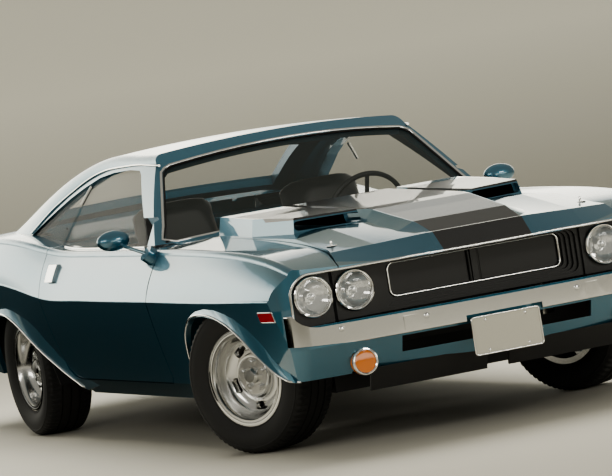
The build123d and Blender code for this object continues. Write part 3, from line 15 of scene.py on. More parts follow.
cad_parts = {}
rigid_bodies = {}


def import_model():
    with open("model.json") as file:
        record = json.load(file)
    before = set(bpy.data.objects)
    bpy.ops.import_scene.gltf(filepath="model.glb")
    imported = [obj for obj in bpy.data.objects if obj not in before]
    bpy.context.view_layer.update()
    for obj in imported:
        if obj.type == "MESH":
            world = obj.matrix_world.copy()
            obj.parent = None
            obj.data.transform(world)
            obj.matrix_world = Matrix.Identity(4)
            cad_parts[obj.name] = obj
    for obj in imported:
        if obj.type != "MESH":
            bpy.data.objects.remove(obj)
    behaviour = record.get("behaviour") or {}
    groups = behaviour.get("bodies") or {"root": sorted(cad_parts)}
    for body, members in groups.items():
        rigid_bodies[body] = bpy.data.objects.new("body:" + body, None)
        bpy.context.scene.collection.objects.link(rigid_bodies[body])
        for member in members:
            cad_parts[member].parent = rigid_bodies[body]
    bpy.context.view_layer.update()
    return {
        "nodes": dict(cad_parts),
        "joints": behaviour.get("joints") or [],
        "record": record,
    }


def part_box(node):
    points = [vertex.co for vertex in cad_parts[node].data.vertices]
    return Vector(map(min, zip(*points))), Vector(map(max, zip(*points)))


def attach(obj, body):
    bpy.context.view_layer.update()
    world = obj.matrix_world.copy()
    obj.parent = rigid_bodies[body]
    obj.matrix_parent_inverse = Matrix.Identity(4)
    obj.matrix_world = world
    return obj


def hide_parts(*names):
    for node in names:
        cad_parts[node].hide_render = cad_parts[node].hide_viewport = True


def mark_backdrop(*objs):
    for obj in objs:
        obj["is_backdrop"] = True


for leftover in list(bpy.data.objects):
    bpy.data.objects.remove(leftover)
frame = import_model()
nodes = frame["nodes"]

# %% [markdown]
# ## Places worked out from the frame
# The axles and the tyre's size are read from the joints and boxes of the
# model, so that pieces added here follow it.

# %% Driving places
joints = {joint["name"]: joint for joint in frame["joints"]}
SIDES = (("left", 1), ("right", -1))
wheel_axis, wheel_centre = {}, {}
for side, sign in SIDES:
    for end in ("front", "rear"):
        joint = joints[f"wheel_{end}_{side}_spin"]
        wheel_axis[end, side] = Vector(joint["axis"]) * sign
        wheel_centre[end, side] = Vector(joint["pos_m"])
FRONT_AXLE = joints["steer_left"]["pos_m"][1]
REAR_AXLE = wheel_centre["rear", "left"].y
TYRE_RADIUS = (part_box("tyre_rear_left")[1].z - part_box("tyre_rear_left")[0].z) / 2
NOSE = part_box("front_bumper")[0].y + 0.055
print("front axle", FRONT_AXLE, "rear axle", REAR_AXLE, "tyre radius", TYRE_RADIUS)

# %% [markdown]
# ## Shader maths in plain Python
# A material is a graph of nodes. Wrapping a socket in a small class lets an
# expression such as `1 - mask * 0.5` add the Math nodes by itself. Every other
# node comes from one method that takes its type, settings and sockets.


# %% Shader helpers
class Term:
    """A shader value that understands + - * / and a few tests."""

    def __init__(self, finish, socket):
        self.finish, self.socket = finish, socket

    def _math(self, operation, a, b=None):
        sockets = {0: a} if b is None else {0: a, 1: b}
        return self.finish.node("ShaderNodeMath", {"operation": operation}, sockets)

    def __add__(self, other): return self._math("ADD", self, other)
    def __radd__(self, other): return self._math("ADD", other, self)
    def __sub__(self, other): return self._math("SUBTRACT", self, other)
    def __rsub__(self, other): return self._math("SUBTRACT", other, self)
    def __mul__(self, other): return self._math("MULTIPLY", self, other)
    def __rmul__(self, other): return self._math("MULTIPLY", other, self)
    def __truediv__(self, other): return self._math("DIVIDE", self, other)
    def __abs__(self): return self._math("ABSOLUTE", self)
    def above(self, edge): return self._math("GREATER_THAN", self, edge)
    def below(self, edge): return self._math("LESS_THAN", self, edge)
    def sine(self): return self._math("SINE", self)
    def fraction(self): return self._math("FRACT", self)


class Finish:
    """A material with one Principled shader and the nodes that feed it."""

    def __init__(self, name, **settings):
        self.material = bpy.data.materials.new(name)
        self.material.use_nodes = True
        self.tree = self.material.node_tree
        self.shader = next(n for n in self.tree.nodes if n.type == "BSDF_PRINCIPLED")
        self.set(**settings)

    def set(self, **settings):
        for key, value in settings.items():
            socket = self.shader.inputs[key.replace("_", " ").title().replace("Ior", "IOR")]
            self._feed(socket, value)
        return self

    def _feed(self, socket, value):
        if isinstance(value, Term):
            self.tree.links.new(value.socket, socket)
        elif isinstance(value, (tuple, list)) and len(value) == 3 and len(socket.default_value) == 4:
            socket.default_value = (*value, 1.0)
        else:
            socket.default_value = value

    def node(self, kind, settings, sockets, output=0):
        made = self.tree.nodes.new(kind)
        for key, value in settings.items():
            if key == "stops":
                ramp = made.color_ramp
                while len(ramp.elements) < len(value):
                    ramp.elements.new(0.5)
                for element, (place, colour) in zip(ramp.elements, value):
                    element.position, element.color = place, (*colour, 1.0)
            else:
                setattr(made, key, value)
        for key, value in sockets.items():
            self._feed(made.inputs[key], value)
        return Term(self, made.outputs[output])

    def place(self):
        """Object coordinates as three terms."""
        point = self.node("ShaderNodeTexCoord", {}, {}, "Object")
        split = self.tree.nodes.new("ShaderNodeSeparateXYZ")
        self.tree.links.new(point.socket, split.inputs[0])
        return point, [Term(self, output) for output in split.outputs]

    def noise(self, scale, detail=3.0, point=None):
        point = point or self.place()[0]
        return self.node("ShaderNodeTexNoise", {}, {"Vector": point, "Scale": scale, "Detail": detail})

    def blend(self, factor, a, b):
        sockets = {0: factor, 6: a, 7: b}
        return self.node("ShaderNodeMix", {"data_type": "RGBA"}, sockets, 2)

    def bump(self, height, strength=0.3, distance=0.001):
        sockets = {"Height": height, "Strength": strength, "Distance": distance}
        return self.set(normal=self.node("ShaderNodeBump", {}, sockets))

# %% [markdown]
# ## Finishes
# Car paint is a dark pigment coat under a clear one, so it is a dull base with a
# glossy clear coat on top. A broad stripe in satin black crosses the raised
# middle of the hood; it is masked by Object coordinates so it stays on the metal.

# %% Paint
BLUE, STRIPE_BLACK = (0.040, 0.165, 0.245), (0.010, 0.010, 0.011)
# Painted reflection: a greyer, darker blue for the rockers, standing in for the floor that the tucked-under panel
# reflects.
ROCKER_REFLECTION_BLUE = (0.045, 0.105, 0.135)


def body_paint():
    finish = Finish("body_paint", metallic=0.85, roughness=0.36, coat_weight=1.0,
                    coat_roughness=0.03, coat_ior=1.9)
    point, (x, y, z) = finish.place()
    # Painted reflection: below 0.298 m and between the arches, the paint takes the greyer blue of the floor's
    # reflection.
    painted_rocker_reflection = z.below(0.298) * (y - FRONT_AXLE).above(0.35) * (y - REAR_AXLE).below(-0.35)
    return finish.set(base_color=finish.blend(painted_rocker_reflection, BLUE, ROCKER_REFLECTION_BLUE)).material


def hood_paint():
    finish = Finish("hood_paint", metallic=0.85, roughness=0.36, coat_roughness=0.03, coat_ior=1.9)
    point, (x, y, z) = finish.place()
    widen = (y - NOSE) * 0.03
    middle = (abs(x) - widen).below(0.200)
    scoop_tops = abs(x).below(0.560) * z.above(0.9435) * y.above(-1.700) * y.below(-0.980)
    stripe = middle + scoop_tops - middle * scoop_tops
    finish.set(base_color=finish.blend(stripe, BLUE, STRIPE_BLACK), metallic=0.85 - stripe * 0.85)
    return finish.set(roughness=0.36 + stripe * 0.04, coat_weight=1 - stripe * 0.5).material


paint = body_paint()
paint_hood = hood_paint()
print("paints", paint.name, paint_hood.name)

# %% [markdown]
# ## Metals, glass, rubber and cloth
# Each of the other finishes is one shader with fixed numbers. Rubber and vinyl
# get a fine bump, because a perfectly smooth dark surface looks like plastic.

# %% Other finishes
chrome = Finish("chrome", base_color=(0.86, 0.86, 0.85), metallic=1.0, roughness=0.07).material
trim_steel = Finish("trim_steel", base_color=(0.80, 0.80, 0.79), metallic=1.0, roughness=0.16).material
wheel_silver = Finish("wheel_silver", base_color=(0.70, 0.70, 0.69), metallic=1.0, roughness=0.20).material
black_satin = Finish("black_satin", base_color=(0.010, 0.010, 0.011), roughness=0.42).material
black_matte = Finish("black_matte", base_color=(0.008, 0.008, 0.008), roughness=0.75).material
dull_steel = Finish("dull_steel", base_color=(0.22, 0.22, 0.21), metallic=0.8, roughness=0.5).material
iron = Finish("iron", base_color=(0.035, 0.035, 0.036), metallic=0.4, roughness=0.6).material
underbody = Finish("underbody", base_color=(0.012, 0.012, 0.013), roughness=0.8).material
plate_white = Finish("plate_enamel", base_color=(0.62, 0.60, 0.52), roughness=0.35).material


def window_glass():
    finish = Finish("window_glass", base_color=(0.10, 0.11, 0.10), roughness=0.02, ior=1.45,
                    alpha=0.10)
    finish.shader.inputs["Specular IOR Level"].default_value = 0.9
    return finish.material


def lens(name, colour, glow=0.0, alpha=1.0):
    finish = Finish(name, base_color=colour, roughness=0.06, coat_weight=1.0, alpha=alpha)
    if glow:
        finish.set(emission_color=colour)
        finish.shader.inputs["Emission Strength"].default_value = glow
    return finish.material


def tyre_rubber():
    finish = Finish("tyre_rubber", base_color=(0.012, 0.012, 0.012), roughness=0.68)
    return finish.bump(finish.noise(420), 0.15, 0.0004).material


def seat_vinyl():
    finish = Finish("seat_vinyl", base_color=(0.018, 0.018, 0.019), roughness=0.45)
    return finish.bump(finish.noise(260, 5), 0.25, 0.0006).material


glass = window_glass()
clear_lens = lens("clear_lens", (0.75, 0.78, 0.80), alpha=0.35)
red_lens = lens("red_lens", (0.42, 0.012, 0.012), 0.05)
amber_lens = lens("amber_lens", (0.80, 0.22, 0.02))


def marker_lens():
    """Amber in front, red in the side markers, told apart by their distance from the middle."""
    finish = Finish("marker_lens", roughness=0.06, coat_weight=1.0)
    point, (x, y, z) = finish.place()
    amber, red = (0.80, 0.22, 0.02), (0.42, 0.012, 0.012)
    return finish.set(base_color=finish.blend(abs(x).above(0.8), amber, red)).material


rubber, vinyl = tyre_rubber(), seat_vinyl()

# %% Give every solid its finish
FINISH_OF = {
    "paint": paint, "underbody": underbody, "window_glass": glass, "lamp_glass": chrome,
    "amber_lens": marker_lens(), "red_lens": red_lens, "chrome": chrome, "black_plastic": black_satin,
    "dark_plastic": black_satin, "plate": plate_white, "upholstery": vinyl, "iron": iron,
    "dull_steel": dull_steel, "wheel_silver": wheel_silver, "tyre": rubber,
}


def dress(obj, material):
    obj.data.materials.clear()
    obj.data.materials.append(material)


for part in frame["record"]["subparts"]:
    dress(nodes[part["node"]], FINISH_OF[part["material_slot"]])
dress(nodes["hood"], paint_hood)
print("dressed", len(nodes), "solids")

# %% [markdown]
# ## Making pieces
# Most of what is added here is turned on an axis, like a tyre or a lamp ring, or
# drawn along a line, like a bright trim. One helper spins an outline, one draws a
# tube, and one hands the finished mesh to the body it rides on.

# %% Mesh helpers
MM = 0.001


def finished(mesh, name, material, smooth=35, body=None):
    """Makes the object, shades it smooth up to an angle, and lets it ride on a body."""
    data = bpy.data.meshes.new(name)
    mesh.to_mesh(data)
    mesh.free()
    data.polygons.foreach_set("use_smooth", [True] * len(data.polygons))
    data.set_sharp_from_angle(angle=radians(smooth))
    data.materials.append(material)
    obj = bpy.data.objects.new(name, data)
    bpy.context.scene.collection.objects.link(obj)
    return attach(obj, body) if body else obj


def aimed(axis, place):
    """The matrix that carries +X to axis and the origin to place, keeping +Z up."""
    out = Vector(axis).normalized()
    side = Vector((0, 0, 1)).cross(out).normalized()
    return Matrix.Translation(place) @ Matrix((out, side, out.cross(side))).transposed().to_4x4()


def turned(outline, steps=96, closed=True):
    """A bmesh of (radius, outward) points in millimetres spun about +X."""
    mesh = bmesh.new()
    verts = [mesh.verts.new((s * MM, 0, r * MM)) for r, s in outline]
    pairs = list(zip(verts, verts[1:])) + ([(verts[-1], verts[0])] if closed else [])
    edges = [mesh.edges.new(pair) for pair in pairs]
    bmesh.ops.spin(mesh, geom=verts + edges, cent=(0, 0, 0), axis=(1, 0, 0), dvec=(0, 0, 0),
                   angle=2 * pi, steps=steps, use_merge=True, use_duplicate=False)
    bmesh.ops.remove_doubles(mesh, verts=mesh.verts[:], dist=1e-6)
    bmesh.ops.recalc_face_normals(mesh, faces=mesh.faces[:])
    return mesh


def tube(name, points, radius, material, body, closed=False):
    """A round bar drawn along points, ended with caps."""
    curve = bpy.data.curves.new(name, "CURVE")
    curve.dimensions, curve.bevel_depth, curve.bevel_resolution = "3D", radius, 3
    curve.use_fill_caps = True
    spline = curve.splines.new("POLY")
    spline.points.add(len(points) - 1)
    for spot, point in zip(spline.points, points):
        spot.co = (*point, 1.0)
    spline.use_cyclic_u = closed
    holder = bpy.data.objects.new(name + "_line", curve)
    bpy.context.scene.collection.objects.link(holder)
    bpy.context.view_layer.update()
    data = bpy.data.meshes.new_from_object(holder.evaluated_get(bpy.context.evaluated_depsgraph_get()))
    bpy.data.objects.remove(holder)
    data.name = name
    data.materials.clear()
    data.materials.append(material)
    data.polygons.foreach_set("use_smooth", [True] * len(data.polygons))
    obj = bpy.data.objects.new(name, data)
    bpy.context.scene.collection.objects.link(obj)
    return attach(obj, body)


def smooth_line(points, each=8):
    """More points along a Catmull-Rom curve through the given ones."""
    points = [Vector(p) for p in points]
    ends = [2 * points[0] - points[1]] + points + [2 * points[-1] - points[-2]]
    line = []
    for a, b, c, d in zip(ends, ends[1:], ends[2:], ends[3:]):
        for i in range(each):
            t = i / each
            line.append(0.5 * (2 * b + (c - a) * t + (2 * a - 5 * b + 4 * c - d) * t * t
                               + (3 * b - a - 3 * c + d) * t ** 3))
    return line + [points[-1]]


def rounded_rectangle(half_width, low, high, corner, y, steps=8):
    """Points round a rectangle with round corners, seen from the front."""
    spots = []
    for cx, cz, start in ((half_width - corner, high - corner, 0), (corner - half_width, high - corner, 90),
                          (corner - half_width, low + corner, 180), (half_width - corner, low + corner, 270)):
        for i in range(steps + 1):
            a = radians(start + 90 * i / steps)
            spots.append(Vector((cx + corner * cos(a), y, cz + corner * sin(a))))
    return spots


print("helpers ready")

# %% [markdown]
# ## Tyres
# A bias-look radial has a rounded shoulder, three grooves round the tread and
# short cross cuts at the shoulders. The outline is spun once in many steps, and
# every second pair of rows is then pulled in at the shoulders to open the cuts.

# %% Tyres
TREAD_ROWS = 288
SHOULDER = (66, 104)          # how far out the cross cuts run, in millimetres
CUT_DEPTH = 5.5
GROOVES, GROOVE_HALF, GROOVE_DEPTH = (-44, 0, 44), 4.5, 8.0


def tyre_outline():
    wall = [(191, 87), (199, 93), (208, 98.5), (211, 101.5), (215, 101), (228, 108), (246, 114.5), (262, 117.4), (279, 117),
            (294, 113.6), (296, 115), (299, 114.6), (301, 111), (310, 106.5), (317, 101), (322, 94)]
    crown = lambda s: TYRE_RADIUS / MM - 2.5 * (s / 90) ** 2
    tread = [(crown(s), s) for s in (88, 78, 66)]
    for groove in sorted(GROOVES, reverse=True):
        low = crown(groove) - GROOVE_DEPTH
        tread += [(crown(groove), groove + GROOVE_HALF), (low, groove + GROOVE_HALF - 1.5),
                  (low, groove - GROOVE_HALF + 1.5), (crown(groove), groove - GROOVE_HALF)]
    tread += [(crown(s), s) for s in (-66, -78, -88)]
    inner = [(r, -s) for r, s in reversed(wall)]
    return wall + tread + inner


def tyre_mesh():
    mesh = turned(tyre_outline(), TREAD_ROWS)
    for vert in mesh.verts:
        turn = atan2(vert.co.y, vert.co.z) / (2 * pi) * TREAD_ROWS
        radius = hypot(vert.co.y, vert.co.z)
        if round(turn) % 4 < 2 and SHOULDER[0] - 1 <= abs(vert.co.x) / MM <= SHOULDER[1] and radius > 0.312:
            pull = 1 - CUT_DEPTH * MM / radius
            vert.co.y *= pull
            vert.co.z *= pull
    return mesh


for (end, side), centre in wheel_centre.items():
    mesh = tyre_mesh()
    mesh.transform(aimed(wheel_axis[end, side], centre))
    tyre = finished(mesh, f"tread_{end}_{side}", rubber, 32, f"wheel_{end}_{side}")
    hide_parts(f"tyre_{end}_{side}")
print("tyre faces", len(tyre.data.polygons))

# %% [markdown]
# ## Wheel trim
# The wheel itself is a solid of the frame. A bright ring clips over its edge, a
# raised cup stands in the middle, and each nut sits in a dark pocket in it.

# %% Wheel trim
RING = [(206, 88), (207.2, 92), (206, 96.5), (201, 98.5), (192, 98.6), (184, 96),
        (180, 92), (181, 90), (186, 93), (194, 95), (201, 94)]
CUP = [(90, 24), (91, 42), (89.5, 47.5), (86, 50), (82, 49), (80, 44), (79, 36), (84, 30)]
CAP = [(0, 72.5), (18, 71.5), (27, 68), (31, 62), (33.5, 52), (35.5, 44.5), (30, 44.5), (0, 60)]
NUT_CIRCLE, NUT_COUNT = 57.15, 5


for (end, side), centre in wheel_centre.items():
    body = f"wheel_{end}_{side}"
    seat = aimed(wheel_axis[end, side], centre)
    for name, outline, material in (("trim_ring", RING, chrome), ("hub_cup", CUP, trim_steel),
                                    ("centre_cap", CAP, dull_steel)):
        mesh = turned(outline, 96)
        mesh.transform(seat)
        finished(mesh, f"{name}_{end}_{side}", material, 40, body)
    pockets = bmesh.new()
    for i in range(NUT_COUNT):
        a = 2 * pi * i / NUT_COUNT
        ring = turned([(14.5, 44.3), (15.5, 46.5), (17, 46.8), (18, 44.3)], 32)
        ring.transform(Matrix.Translation((0, NUT_CIRCLE * MM * sin(a), NUT_CIRCLE * MM * cos(a))))
        data = bpy.data.meshes.new("ring")
        ring.to_mesh(data)
        pockets.from_mesh(data)
        bpy.data.meshes.remove(data)
        ring.free()
    pockets.transform(seat)
    finished(pockets, f"nut_pockets_{end}_{side}", trim_steel, 40, body)
print("wheel trim on", len(wheel_centre), "wheels")

# %% [markdown]
# ## Headlamps
# Each lamp is a sealed beam: a silvered bowl behind a domed glass, with a small
# shield over the bulb, held by two bright rings. The solids of the frame have the
# outside shape only, so these pieces take their place.

# %% Headlamps
LAMP_SPOTS = ((0.766, 0.656, 0.080), (0.569, 0.653, 0.112))   # x, z, how far behind the nose
BEZEL_OUTLINE = [(86, -14), (86, -4), (85, 0), (81.5, 2.5), (78.5, 1.5), (77, -2), (76, -8), (76, -14)]
INNER_RING = [(76.5, -12), (75.5, -4.5), (73.5, -3), (71, -4.5), (70, -12)]
GLASS_OUTLINE = [(71, -10), (66, -3.5), (52, 2.5), (34, 6.5), (16, 8.6), (0, 9.2)]
BOWL_OUTLINE = [(71, -11), (64, -17), (54, -25), (42, -32), (28, -38), (16, -42), (0, -44)]
SHIELD_OUTLINE = [(0, -12), (8, -13), (14, -16), (17, -21), (17.5, -30), (14, -32), (0, -33)]

rings, bowls, glasses = bmesh.new(), bmesh.new(), bmesh.new()


def add_turned(into, outline, matrix, steps=72, closed=True):
    part = turned(outline, steps, closed)
    part.transform(matrix)
    data = bpy.data.meshes.new("part")
    part.to_mesh(data)
    into.from_mesh(data)
    bpy.data.meshes.remove(data)
    part.free()


for x, z, back in LAMP_SPOTS:
    for sign in (-1, 1):
        seat = aimed((0, -1, 0), (sign * x, NOSE + back, z))
        add_turned(rings, BEZEL_OUTLINE, seat)
        add_turned(rings, INNER_RING, seat)
        add_turned(rings, SHIELD_OUTLINE, seat, closed=False)
        add_turned(bowls, BOWL_OUTLINE, seat, closed=False)
        add_turned(glasses, GLASS_OUTLINE, seat, closed=False)
lamp_rings = finished(rings, "lamp_rings", chrome, 40, "body")
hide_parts("headlamps")
finished(bowls, "lamp_bowls", chrome, 60, "body")
finished(glasses, "lamp_glasses", clear_lens, 60, "body")
print("lamps", 2 * len(LAMP_SPOTS))

# %% [markdown]
# ## Bright trim
# Thin bright strips frame the windshield, the drip rails, the side windows, the
# mouth and the arches. Most are drawn along points found by letting a ray meet the
# solid they lie on. The windshield's strips follow its curved surface and the drip
# rails a listed line, so the strips follow every curve of the body.

# %% Strips on the body
def touch(names, start, direction):
    """Where a ray first meets one of the named solids, and the normal there."""
    best = None
    for name in names:
        solid = nodes[name]
        back = solid.matrix_world.inverted()
        hit, place, normal, _ = solid.ray_cast(back @ Vector(start), back.to_3x3() @ Vector(direction))
        if hit:
            place = solid.matrix_world @ place
            if best is None or (place - Vector(start)).length < (best[0] - Vector(start)).length:
                best = (place, (solid.matrix_world.to_3x3() @ normal).normalized())
    return best


def on_side(names, rows, sign, lift=0.0):
    """Points on one side of the body at the given (y, z), lifted off the skin."""
    points = []
    for y, z in rows:
        found = touch(names, (sign * 1.3, y, z), (-sign, 0, 0))
        if found:
            points.append(found[0] + Vector((sign * lift, 0, 0)))
    return points


def strip(name, points, width, material, body, closed=False):
    """A round bright strip, given by the line it follows and its width."""
    return tube(name, points, width / 2, material, body, closed)


FRONT_LIP = [(-1.0975, 0.232), (-1.1075, 0.330), (-1.1315, 0.404), (-1.1785, 0.504), (-1.2495, 0.565), (-1.3395, 0.596),
             (-1.4445, 0.607), (-1.5695, 0.602), (-1.6895, 0.577), (-1.7845, 0.541), (-1.8695, 0.494), (-1.9365, 0.446),
             (-2.0035, 0.404), (-2.0795, 0.364), (-2.1445, 0.340), (-2.1895, 0.329), (-2.2345, 0.322)]
REAR_LIP = [(1.7065, 0.300), (1.6965, 0.380), (1.6645, 0.455), (1.6145, 0.520), (1.5395, 0.571), (1.4445, 0.598),
            (1.3445, 0.604), (1.2345, 0.586), (1.1095, 0.541), (0.9825, 0.477), (0.8485, 0.414), (0.7245, 0.364),
            (0.6145, 0.318), (0.5145, 0.283), (0.4545, 0.263), (0.3995, 0.246), (0.3445, 0.228)]


def pushed(rows, centre, out):
    """The same points moved away from a wheel's centre."""
    result = []
    for y, z in rows:
        away = Vector((y - centre[0], z - centre[1])).normalized() * out
        result.append((y + away.x, z + away.y))
    return result


for side, sign in SIDES:
    fender = [f"fender_{side}", "front_valance"]
    lips = (("front", FRONT_LIP, (FRONT_AXLE, TYRE_RADIUS), fender),
            ("rear", REAR_LIP, (REAR_AXLE, TYRE_RADIUS), ["body_shell", f"door_{side}"]))
    for end, rows, centre, solids in lips:
        points = on_side(solids, pushed(rows, centre, 0.006), sign, 0.001)
        strip(f"arch_lip_{end}_{side}", smooth_line(points, 5), 0.009, chrome, "body")
print("arch lips drawn")

# %% Windshield, drip rails and side windows
SCREEN_FOOT, SCREEN_RAKE, SCREEN_ROUND = (-0.8145, 0.914), radians(38), 2.4


def on_screen(x, up, lift=0.002):
    """A point on the windshield's curved surface: x, and distance up its rake."""
    sink = SCREEN_ROUND - sqrt(SCREEN_ROUND ** 2 - x * x) - lift
    y, z = SCREEN_FOOT
    return Vector((x, y + up * cos(SCREEN_RAKE) + sink * sin(SCREEN_RAKE),
                   z + up * sin(SCREEN_RAKE) - sink * cos(SCREEN_RAKE)))


def screen_ring(grow):
    low = [(0.762 * t, 0.026 + 0.109 * t * t) for t in (0.0, 0.2, 0.4, 0.6, 0.8, 0.93)]
    side = [(0.757, 0.165), (0.7252, 0.24), (0.688, 0.345), (0.651, 0.45), (0.622, 0.533)]
    high = [(0.611, 0.566), (0.590, 0.584), (0.560, 0.593)]
    high += [(0.56 * t, 0.568 + 0.0245 * t * t) for t in (0.8, 0.6, 0.4, 0.2, 0.0)]
    half = low + side + high
    ring = [(x, up) for x, up in half] + [(-x, up) for x, up in reversed(half[1:-1])]
    middle = 0.33
    result = []
    for x, up in ring:
        away = Vector((x * 0.6, up - middle)).normalized() * grow
        result.append((x + away.x, up + away.y))
    return result


strip("windshield_trim", [on_screen(x, up, 0.0) for x, up in screen_ring(0.008)], 0.014, chrome, "body", True)
gasket = [on_screen(x, up, -0.004) for x, up in screen_ring(-0.003)]
strip("windshield_gasket", gasket, 0.010, black_matte, "body", True)

DRIP = [(0.616, -0.300, 1.2335), (0.620, -0.250, 1.235), (0.6205, -0.160, 1.240), (0.621, -0.040, 1.245), (0.623, 0.180, 1.2425),
        (0.628, 0.400, 1.234), (0.644, 0.600, 1.204), (0.672, 0.785, 1.153), (0.715, 1.000, 1.079), (0.764, 1.235, 0.976)]
for side, sign in SIDES:
    rail = smooth_line([(sign * x, y, z) for x, y, z in DRIP], 6)
    strip(f"drip_rail_{side}", rail, 0.012, chrome, "body")
print("window trim drawn")

# %% [markdown]
# ## The mouth and the front
# A bright lip runs round the mouth, and a rounded bright frame lies on the
# innermost ridge of the grille. Hood pins, bumper bolts, lamp rings and a blank
# plate finish the front.

# %% Mouth lip and grille frame
FRONT_SOLIDS = ["hood", "fender_left", "fender_right", "front_valance"]
MOUTH = (0.860, 0.540, 0.748, 0.078)          # half width, low, high, corner


def on_front(rows, lift=0.0, solids=FRONT_SOLIDS):
    points = []
    for x, z in rows:
        found = touch(solids, (x, -2.7, z), (0, 1, 0))
        if found and found[0].y < -1.9:
            points.append(found[0] + found[1] * lift)
    return points


half_width, low, high, corner = MOUTH
grow = 0.005
arc = [(half_width - corner + (corner + grow) * cos(a), high - corner + (corner + grow) * sin(a))
       for a in [radians(90 * i / 10) for i in range(11)]]
right = [(half_width + grow, z) for z in (0.560, 0.580, 0.610, 0.640)] + arc
across = [(x / 100, high + grow * 0.8) for x in range(75, -80, -5)]
lip_rows = right + across + [(-x, z) for x, z in reversed(right)]
mouth_lip = on_front(lip_rows, 0.001)
strip("mouth_lip", mouth_lip, 0.011, chrome, "body")
print("mouth lip points", len(mouth_lip), "of", len(lip_rows))

grille_front = touch(["grille"], (0.30, -2.7, 0.7295), (0, 1, 0))
frame_y = grille_front[0].y if grille_front else NOSE + 0.18
ring = rounded_rectangle(0.389, 0.5925, 0.7310, 0.029, frame_y - 0.001)
strip("grille_frame", ring, 0.011, chrome, "body", True)
for offset in (-0.020, 0.020):
    bar = [(offset, frame_y + 0.003, z) for z in (0.600, 0.724)]
    tube(f"grille_bar_{'a' if offset < 0 else 'b'}", bar, 0.0075, black_satin, "body")
print("grille frame at y", round(frame_y, 4))

# %% Hood pins, bolts, lamp rings and the plate
pins = bmesh.new()
for x in (-0.571, 0.571):
    found = touch(["hood"], (x, -2.090, 1.4), (0, 0, -1))
    if found:
        spot = found[0]
        seat = Matrix.Translation(spot) @ Matrix.Rotation(-pi / 2, 4, "Y")
        add_turned(pins, [(0, 1.5), (20, 1.5), (23, 0.8), (24, -1), (0, -1)], seat, 40)
        add_turned(pins, [(0, 22), (3.5, 21), (5, 18), (5, 1), (0, 1)], seat, 20)
finished(pins, "hood_pins", chrome, 40, "hood")

bolts = bmesh.new()
for x, z in ((-0.700, 0.515), (-0.340, 0.508), (0.340, 0.508), (0.700, 0.515)):
    found = touch(["front_bumper"], (x, -2.7, z), (0, 1, 0))
    if found:
        add_turned(bolts, [(0, 5.5), (8, 4.5), (12, 1.5), (13, -1), (0, -1)], aimed((0, -1, 0), found[0]), 32)
finished(bolts, "bumper_bolts", trim_steel, 40, "body")

turn_rings, turn_glass = bmesh.new(), bmesh.new()
TURN = (0.598, 0.363)
for sign in (-1, 1):
    found = touch(["marker_lamps"], (sign * TURN[0], -2.7, TURN[1]), (0, 1, 0))
    spot = found[0] if found else Vector((sign * TURN[0], NOSE + 0.05, TURN[1]))
    seat = aimed((0, -1, 0), spot)
    add_turned(turn_rings, [(56, -6), (56.5, 2), (54, 6), (50, 7), (46, 4), (45, -2), (45, -6)], seat, 56)
    dome = [(0, 3.5), (16, 3.2), (32, 2), (42, 0.8), (45, 0), (45, -3)]
    add_turned(turn_glass, dome, seat, 56, closed=False)
finished(turn_rings, "turn_lamp_rings", chrome, 40, "body")
finished(turn_glass, "turn_lamp_domes", amber_lens, 60, "body")

plate_low, plate_high = 0.310, 0.462
face_y = touch(["front_plate"], (0.0, -2.7, 0.40), (0, 1, 0))[0].y
edge = rounded_rectangle(0.1535, plate_low - 0.001, plate_high + 0.001, 0.012, face_y - 0.001)
tube("plate_frame", edge, 0.0035, chrome, "body", True)
plate_bolts = bmesh.new()
for x in (-0.09, 0.09):
    for z in (plate_low + 0.014, plate_high - 0.014):
        head = [(0, 3), (4, 2.6), (6.5, 0.6), (6.5, -1), (0, -1)]
        add_turned(plate_bolts, head, aimed((0, -1, 0), (x, face_y, z)), 24)
finished(plate_bolts, "plate_bolts", trim_steel, 40, "body")
print("front dressed")

# %% [markdown]
# ## Sides
# The body's sides carry bright sills under the windows and a divider between the
# door glass and the quarter glass. The greyer band along the rockers is painted
# reflection in the body paint, and the mirrors get their glasses.

# %% Side pieces
for side, sign in SIDES:
    skin = [f"door_{side}", "body_shell", f"fender_{side}"]
    sill = []
    for y in [-0.56 + 0.05 * i for i in range(25)]:
        found = touch([f"door_glass_{side}"], (sign * 1.3, y, 0.925), (-sign, 0, 0))
        down = touch(skin, (sign * (abs(found[0].x) + 0.012), y, 1.1), (0, 0, -1)) if found else None
        if down and down[0].z > 0.86:
            sill.append(down[0] + Vector((0, 0, 0.002)))
    if len(sill) > 3:
        strip(f"window_sill_{side}", sill, 0.010, chrome, f"door_{side}")
    divider = []
    for i in range(12):
        t = i / 11
        y, z = 0.683 - 0.148 * t, 0.905 + 0.290 * t
        found = touch([f"door_glass_{side}", "quarter_glass"], (sign * 1.3, y, z), (-sign, 0, 0))
        if found:
            divider.append(found[0] + Vector((sign * 0.001, 0, 0)))
    strip(f"pane_divider_{side}", divider, 0.014, chrome, f"door_{side}")
    print("sill", side, len(sill), "divider", len(divider))

MARKERS = ((FRONT_AXLE - 0.652, 0.580, 0.615), (REAR_AXLE + 0.800, 0.600, 0.635))   # middle y, z from, z to
MARKER_HALF, MARKER_LEAN = 0.063, 0.005
for side, sign in SIDES:
    for end, (y, z0, z1) in zip(("front", "rear"), MARKERS):
        corners = [(y - MARKER_HALF - MARKER_LEAN, z0 - 0.003), (y + MARKER_HALF - MARKER_LEAN, z0 - 0.003),
                   (y + MARKER_HALF + MARKER_LEAN, z1 + 0.003), (y - MARKER_HALF + MARKER_LEAN, z1 + 0.003)]
        ring = []
        for (ya, za), (yb, zb) in zip(corners, corners[1:] + corners[:1]):
            edge_points = [(ya + (yb - ya) * i / 8, za + (zb - za) * i / 8) for i in range(8)]
            ring += on_side([f"fender_{side}", "body_shell", "marker_lamps"], edge_points, sign)
        tube(f"marker_ring_{end}_{side}", ring, 0.0028, chrome, "body", True)

